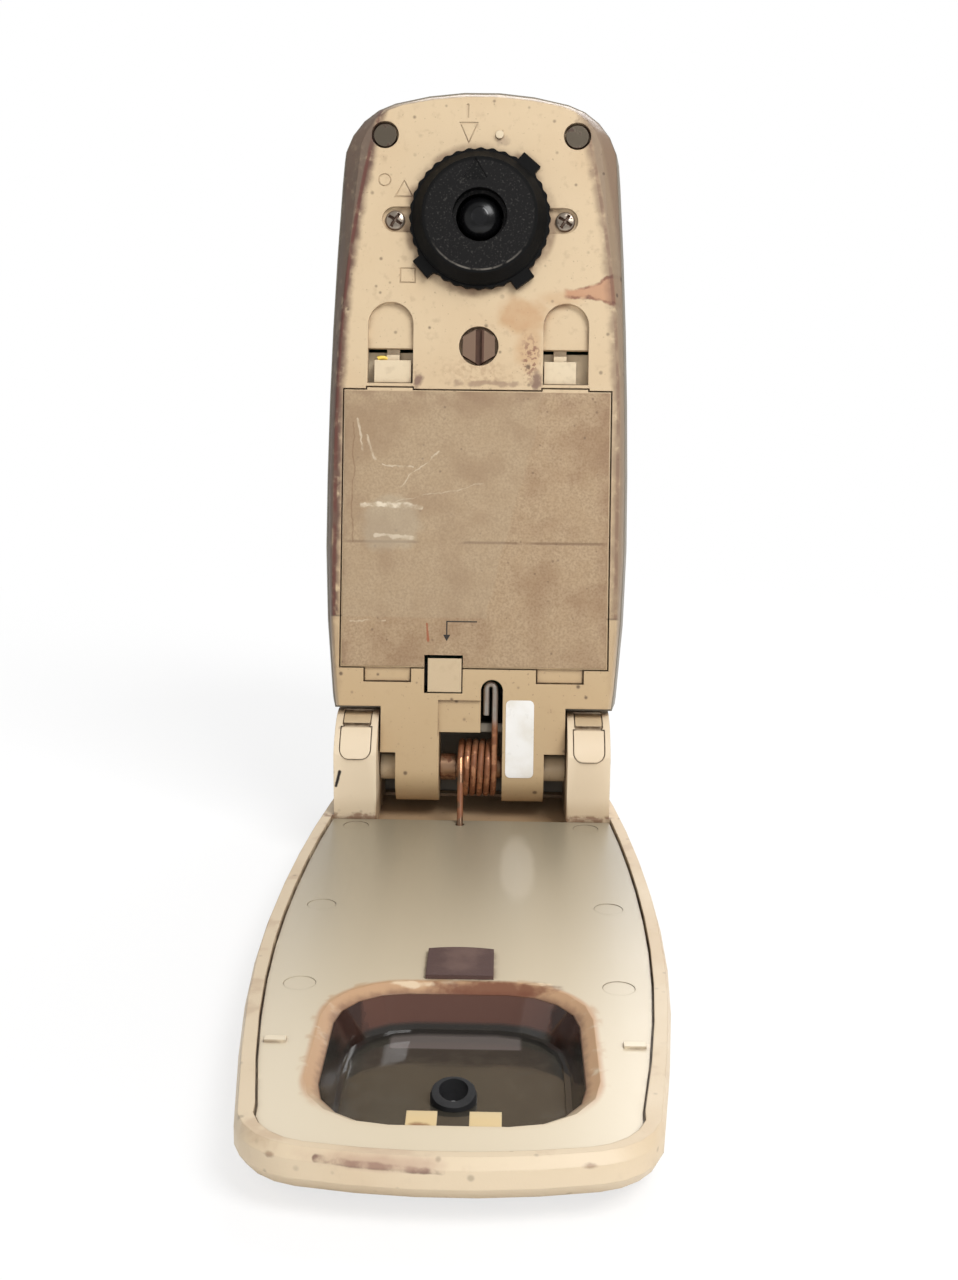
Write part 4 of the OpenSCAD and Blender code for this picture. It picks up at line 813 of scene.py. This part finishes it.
clear_window = polished("clear_window", linear(92, 98, 92), 0.06, Alpha=0.45, Coat_Weight=0.5)
display_grey = moulded("display_grey", linear(136, 146, 124), linear(150, 158, 138), 0.3, 0.004)
pad_rubber = moulded(
    "pad_rubber", linear(84, 62, 58), linear(112, 88, 80), 0.75, grain=0.09, share=0.7
)
grey_rubber = moulded("grey_rubber", linear(168, 164, 152), linear(196, 190, 176), 0.6, 0.02)
white_film = moulded(
    "white_film", linear(236, 234, 230), linear(206, 196, 176), 0.3, 0.003, 0.05, share=0.4
)
board_green = moulded("board_green", linear(36, 92, 58), linear(64, 122, 84), 0.35, 0.01)
acetal = cream("acetal", linear(214, 196, 166), corner_grime_and_shade=0.6)
cell_jacket = polished("cell_jacket", linear(58, 92, 150), 0.25)
spring_steel = rusted(
    "spring_steel", linear(196, 142, 106), linear(150, 94, 60), 0.7, size=3.4, corner=0.5,
    sheltered=True,
)
shaft_steel = rusted("shaft_steel", linear(176, 140, 112), linear(126, 78, 48), 0.62, 2.2)
plated_steel = rusted("plated_steel", linear(158, 146, 132), linear(96, 68, 50), 0.40, 1.6, 1.3)
stop_steel = rusted(
    "stop_steel", linear(162, 134, 114), linear(92, 60, 42), 0.3, size=2.0, corner=1.2, slot=0.4
)
dull_steel = rusted("dull_steel", linear(116, 106, 92), linear(84, 64, 50), 0.45, 2.0)
contact_steel = rusted("contact_steel", linear(214, 210, 196), linear(150, 130, 96), 0.15)
ring_black = ring_finish()
deck_plate = deck_finish()
label_film = label_finish()
tray_plastic = smoked_tray()
print("finishes:", len(bpy.data.materials))

# %% Dress every node
FINISH_OF = {
    casing_cream: ["bottom_casing", "battery_cover"],
    shoe_cream: ["shoe_frame", "ear_caps"],
    latch_cream: [
        "cover_latch_left", "cover_latch_right", "ear_stops", "saver_button", "read_plunger",
    ],
    grey_shell: ["top_housing"],
    ring_black: ["filter_ring"],
    target_black: ["target_ring"],
    dark_plastic: [
        "ring_mount", "optics_block", "battery_tray", "board_components", "read_switch",
        "saver_switch", "serial_socket", "charger_jack",
    ],
    nose_black: ["lens_barrel"],
    lens_glass: ["objective_lens", "lamp"],
    clear_window: ["display_lens"],
    display_grey: ["display_module"],
    pad_rubber: ["stop_pad"],
    grey_rubber: [
        "keypad_mat", "ribbon_cable", "key_menu", "key_enter", "key_escape", "key_up", "key_down",
    ],
    white_film: ["lug_sticker"],
    board_green: ["main_circuit_board", "keypad_board", "detector_board"],
    acetal: ["hinge_bushes", "lamp_socket"],
    cell_jacket: ["battery_cells"],
    shaft_steel: ["hinge_shaft", "shaft_sleeve"],
    plated_steel: ["retainer_screws", "ring_clip"],
    stop_steel: ["hex_stop_screw"],
    dull_steel: ["casing_screws"],
    contact_steel: ["battery_contacts"],
    deck_plate: ["shoe_deck", "deck_stakes"],
    label_film: ["cover_label"],
    tray_plastic: ["target_window"],
    spring_steel: ["torsion_spring"],
}


def dress(piece, material):
    piece.data.materials.clear()
    piece.data.materials.append(material)


for material, names in FINISH_OF.items():
    for name in names:
        dress(nodes[name], material)
left_plain = sorted(set(nodes) - {name for names in FINISH_OF.values() for name in names})
print("nodes without a finish:", left_plain)

# %% [markdown]
# ## Smooth shells, crisp edges
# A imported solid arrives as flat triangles, each with its own corners. Two modifiers turn it into a
# good surface without touching its mesh: Weld joins the corners, and Edge Split parts them again
# where two faces meet at more than a set angle. All faces are then shaded smooth, so long curves
# run clean and true edges stay sharp. The Bevel node in each finish rounds those in the light.


# %% Shading of the solids
def smooth(piece, angle=32):
    """Shades a CAD solid as curves between its sharp edges."""
    mesh = piece.data
    if mesh.has_custom_normals:
        mesh.attributes.remove(mesh.attributes["custom_normal"])
    mesh.polygons.foreach_set("use_smooth", [True] * len(mesh.polygons))
    weld = piece.modifiers.new("weld", "WELD")
    weld.merge_threshold = 2e-6
    split = piece.modifiers.new("split", "EDGE_SPLIT")
    split.split_angle = math.radians(angle)
    split.use_edge_sharp = False


for piece in nodes.values():
    smooth(piece)
print("solids smoothed:", len(nodes))

# %% [markdown]
# ## Meshes from rings of points
# The pieces made here are tubes and turned shapes. Both are rings of points joined by faces, so
# one function makes either: it takes the rings in order, joins neighbours with quads and closes
# the two ends.


# %% Meshes
def mesh_piece(name, points, faces, material, smooth_angle=40):
    mesh = bpy.data.meshes.new(name)
    mesh.from_pydata([tuple(p) for p in points], [], faces)
    mesh.polygons.foreach_set("use_smooth", [True] * len(mesh.polygons))
    mesh.set_sharp_from_angle(angle=math.radians(smooth_angle))
    mesh.update()
    piece = bpy.data.objects.new(name, mesh)
    bpy.context.scene.collection.objects.link(piece)
    dress(piece, material)
    return piece


def ring_faces(rings, sides):
    """Faces that join rings of points, with closed ends."""
    faces = [list(range(sides))[::-1], [(rings - 1) * sides + k for k in range(sides)]]
    for ring in range(rings - 1):
        for k in range(sides):
            a, b = ring * sides + k, ring * sides + (k + 1) % sides
            faces.append([a, b, b + sides, a + sides])
    return faces


def tube(name, path, radius, sides, material):
    """A round wire along a path of points in metres, whose rings don't twist."""
    points = []
    side = None
    for i, here in enumerate(path):
        heading = (path[min(i + 1, len(path) - 1)] - path[max(i - 1, 0)]).normalized()
        side = side or heading.orthogonal()
        side = (side - heading * side.dot(heading)).normalized()
        other = heading.cross(side)
        for k in range(sides):
            a = 2 * math.pi * k / sides
            points.append(here + (side * math.cos(a) + other * math.sin(a)) * radius)
    return mesh_piece(name, points, ring_faces(len(path), sides), material)


# %% [markdown]
# ## The torsion spring
# One wire holds the instrument open: its foot stands in the deck, five turns wrap the shaft, and
# its upper leg lies in the casing's slot. The CAD node is a six-sided tube on this same route.
# Here it is drawn round and a little thicker.

# %% Spring
wire = 1.3
drawn_wire = 1.5
coil_radius = 6.6
pitch = 1.72
turns = 5
foot_across, foot_along = -2.7, 16.7
deck_top = 10.3
leg_across, return_across = 5.46, 3.3
slot_end, hairpin_end = 22.4, 13.5
hairpin_radius = (leg_across - return_across) / 2
leg_top = slot_end - wire / 2 - hairpin_radius - 0.5


def spring_route(steps_a_turn=40):
    """The wire's middle line, in metres, from the deck round the shaft to the hairpin's end."""
    drop = deck_top - axis_height
    reach = math.hypot(foot_along, drop)
    start = 2 * math.pi + math.atan2(drop, -foot_along) - math.acos(coil_radius / reach)
    end = math.pi - lean - 2 * math.pi * turns
    length = pitch * (start - end) / (2 * math.pi)
    first = leg_across - length
    count = math.ceil((start - end) / (2 * math.pi) * steps_a_turn)
    foot = Vector((foot_across, -foot_along, deck_top))
    into_deck = foot + Vector((0, -0.35, -1.3))
    route = [into_deck * MM, foot * MM]
    coil = []
    for i in range(count + 1):
        a = start - (start - end) * i / count
        coil.append(Vector((
            first + length * i / count, coil_radius * math.cos(a),
            axis_height + coil_radius * math.sin(a),
        )) * MM)
    route += [foot * MM + (coil[0] - foot * MM) * share for share in (0.3, 0.6, 0.9)]
    route += coil
    route += [stood(leg_across, along, -coil_radius) for along in (2, 5, 9, 13, leg_top)]
    for i in range(1, 10):
        a = math.pi * i / 10
        across = leg_across - hairpin_radius + hairpin_radius * math.cos(a)
        route.append(stood(across, leg_top + hairpin_radius * math.sin(a), -coil_radius))
    back = (leg_top, 17, hairpin_end)
    return route + [stood(return_across, along, -coil_radius) for along in back]


spring = tube("wound_spring", spring_route(), drawn_wire / 2 * MM, 14, spring_steel)
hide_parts("torsion_spring")
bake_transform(spring)
print("spring points:", len(spring.data.vertices))

# %% [markdown]
# ## Screw heads
# The two screws that hold the filter ring's mount have domed heads with a cross. The CAD screws
# are plain discs, so a turned dome with a cut cross stands in for each. The cross is part of the
# rings of points: where an arm of it passes, the point is pushed down.

# %% Screw heads
head_radius, head_height = 2.5, 1.0
head_across, head_sunk = 21.2, 1.15
cross_turn = 0.6


def cross_head(name, middle_across):
    """A domed head with a cross recess, facing out of the underside."""
    sides, rings = 48, 14
    arm, arm_reach, cut = head_radius * 0.12, head_radius * 0.72, head_height * 0.7
    points = []
    for ring in range(rings):
        share = 1 - ring / (rings - 0.5)
        for k in range(sides):
            a = 2 * math.pi * k / sides + math.radians(20)
            across = head_radius * share * math.cos(a)
            along = head_radius * share * math.sin(a)
            out = head_height * math.sqrt(max(0, 1 - (share * 0.92) ** 2)) if ring else 0
            u = across * math.cos(cross_turn) - along * math.sin(cross_turn)
            v = across * math.sin(cross_turn) + along * math.cos(cross_turn)
            if min(abs(u), abs(v)) < arm and max(abs(u), abs(v)) < arm_reach:
                out -= cut
            place = (middle_across + across, lens_along + along, underside + head_sunk - out)
            points.append(stood(*place))
    faces = ring_faces(rings, sides)
    return mesh_piece(name, points, faces, plated_steel, 50)


heads = [
    cross_head(f"mount_screw_head_{label}", side * head_across)
    for side, label in ((-1, "left"), (1, "right"))
]
for head in heads:
    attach(head, "instrument")
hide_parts("retainer_screws")
print("screw heads:", len(heads), "of", len(heads[0].data.vertices), "points")

# %% [markdown]
# ## Arrow and wire
# A thin printed arrow on the label points to the battery-saver button. It is a flat strip, a hair
# above the film. Behind the left latch a yellow wire shows, which is a short tube.

# %% Arrow
ink = polished("ink", linear(40, 34, 30), 0.6)
half_line, barb_half, barb_length = 0.16, 0.9, 1.6
arrow_across, arrow_along, arrow_reach = -6.8, 36.8, 7.5
tip = arrow_along - 4.9
barb = tip + barb_length
outline = [
    (arrow_reach, arrow_along + half_line), (-half_line, arrow_along + half_line),
    (-half_line, barb), (-barb_half, barb), (0, tip), (barb_half, barb), (half_line, barb),
    (half_line, arrow_along - half_line), (arrow_reach, arrow_along - half_line),
]
points = [stood(arrow_across + across, along, underside - 0.02) for across, along in outline]
arrow = mesh_piece("saver_arrow", points, [list(range(len(points)))], ink)
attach(arrow, "instrument")

# %% Wire
yellow = polished("yellow_insulation", linear(232, 196, 84), 0.35)
wire_route = [
    stood(-25.2 + 0.8 * i, 102.4 + 0.3 * math.sin(i), underside + 1.9 + 0.06 * i * i)
    for i in range(6)
]
latch_wire = tube("latch_wire", wire_route, 0.5 * MM, 10, yellow)
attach(latch_wire, "instrument")
print("wire points:", len(latch_wire.data.vertices))

# %% [markdown]
# ## Beds under the latches
# The openings beside the cover latches aren't black in the photograph: a moulded bed closes them
# a few millimetres down. Each bed is a shallow channel whose two legs stand on the casing's inner
# face, and the latch slides between them.

# %% Latch beds
bed_ends = (95, 104.4)
bed_inner, bed_outer = 13.2, 30.6
bed_foot, bed_depth, bed_wall = underside + 2.02, -3.8, 0.5


def latch_bed(name, low, high):
    """A channel under one opening, between two places across the instrument."""
    left, right_side = low + bed_wall, high - bed_wall
    section = [
        (low, bed_foot), (low, bed_depth + bed_wall), (high, bed_depth + bed_wall),
        (high, bed_foot), (right_side, bed_foot), (right_side, bed_depth), (left, bed_depth),
        (left, bed_foot),
    ]
    points = [stood(across, along, depth) for along in bed_ends for across, depth in section]
    return mesh_piece(name, points, ring_faces(2, len(section)), latch_cream, 30)


for label, low, high in (("left", -bed_outer, -bed_inner), ("right", bed_inner, bed_outer)):
    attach(latch_bed(f"latch_bed_{label}", low, high), "instrument")
print("bed width, mm:", round(bed_outer - bed_inner, 1))

# %% [markdown]
# ## Floor and world
# The ground is plain white card. To the camera it is lit a little from itself, so it stays white
# and keeps the object's soft shadow. Far from the object it is white altogether, like the world.
# The world is white where the camera sees it, directly or through clear plastic, and weaker as a
# light.

# %% Floor
fade_from, fade_to = 220, 420
glow_near, glow_far = 0.72, 1.0


def white_floor():
    finish = Finish("floor_card", Base_Color=(0.93, 0.93, 0.93, 1), Roughness=0.9)
    glow = finish.node("ShaderNodeEmission", {}, {"Color": (1, 1, 1, 1), "Strength": 1.0})
    away = finish.step(length(finish.x, finish.y), fade_from, fade_to)
    seen = finish.node("ShaderNodeLightPath")["Is Camera Ray"]
    share = seen * (away * (glow_far - glow_near) + glow_near)
    card = Wire(finish, finish.shader.outputs[0])
    mixed = finish.node("ShaderNodeMixShader", {}, {0: share, 1: card, 2: glow[0]})
    finish.join(mixed[0], "Material Output", "Surface")
    return finish.material


reach = 6.0
corners = [(-reach, -reach, 0), (reach, -reach, 0), (reach, reach, 0), (-reach, reach, 0)]
floor_mesh = bpy.data.meshes.new("floor")
floor_mesh.from_pydata(corners, [], [(0, 1, 2, 3)])
floor = bpy.data.objects.new("floor", floor_mesh)
floor.location.z = -0.0002
bpy.context.scene.collection.objects.link(floor)
dress(floor, white_floor())
print("floor, m:", 2 * reach)

# %% World
light_strength = 0.42
world = bpy.data.worlds.new("room")
world.use_nodes = True
sky = Graph(world.node_tree)
sky.tree.nodes["Background"].inputs["Color"].default_value = (1, 1, 1, 1)
ray = sky.node("ShaderNodeLightPath")
seen = ray["Is Camera Ray"].larger(ray["Is Transmission Ray"])
sky.join(seen * (1 - light_strength) + light_strength, "Background", "Strength")
bpy.context.scene.world = world
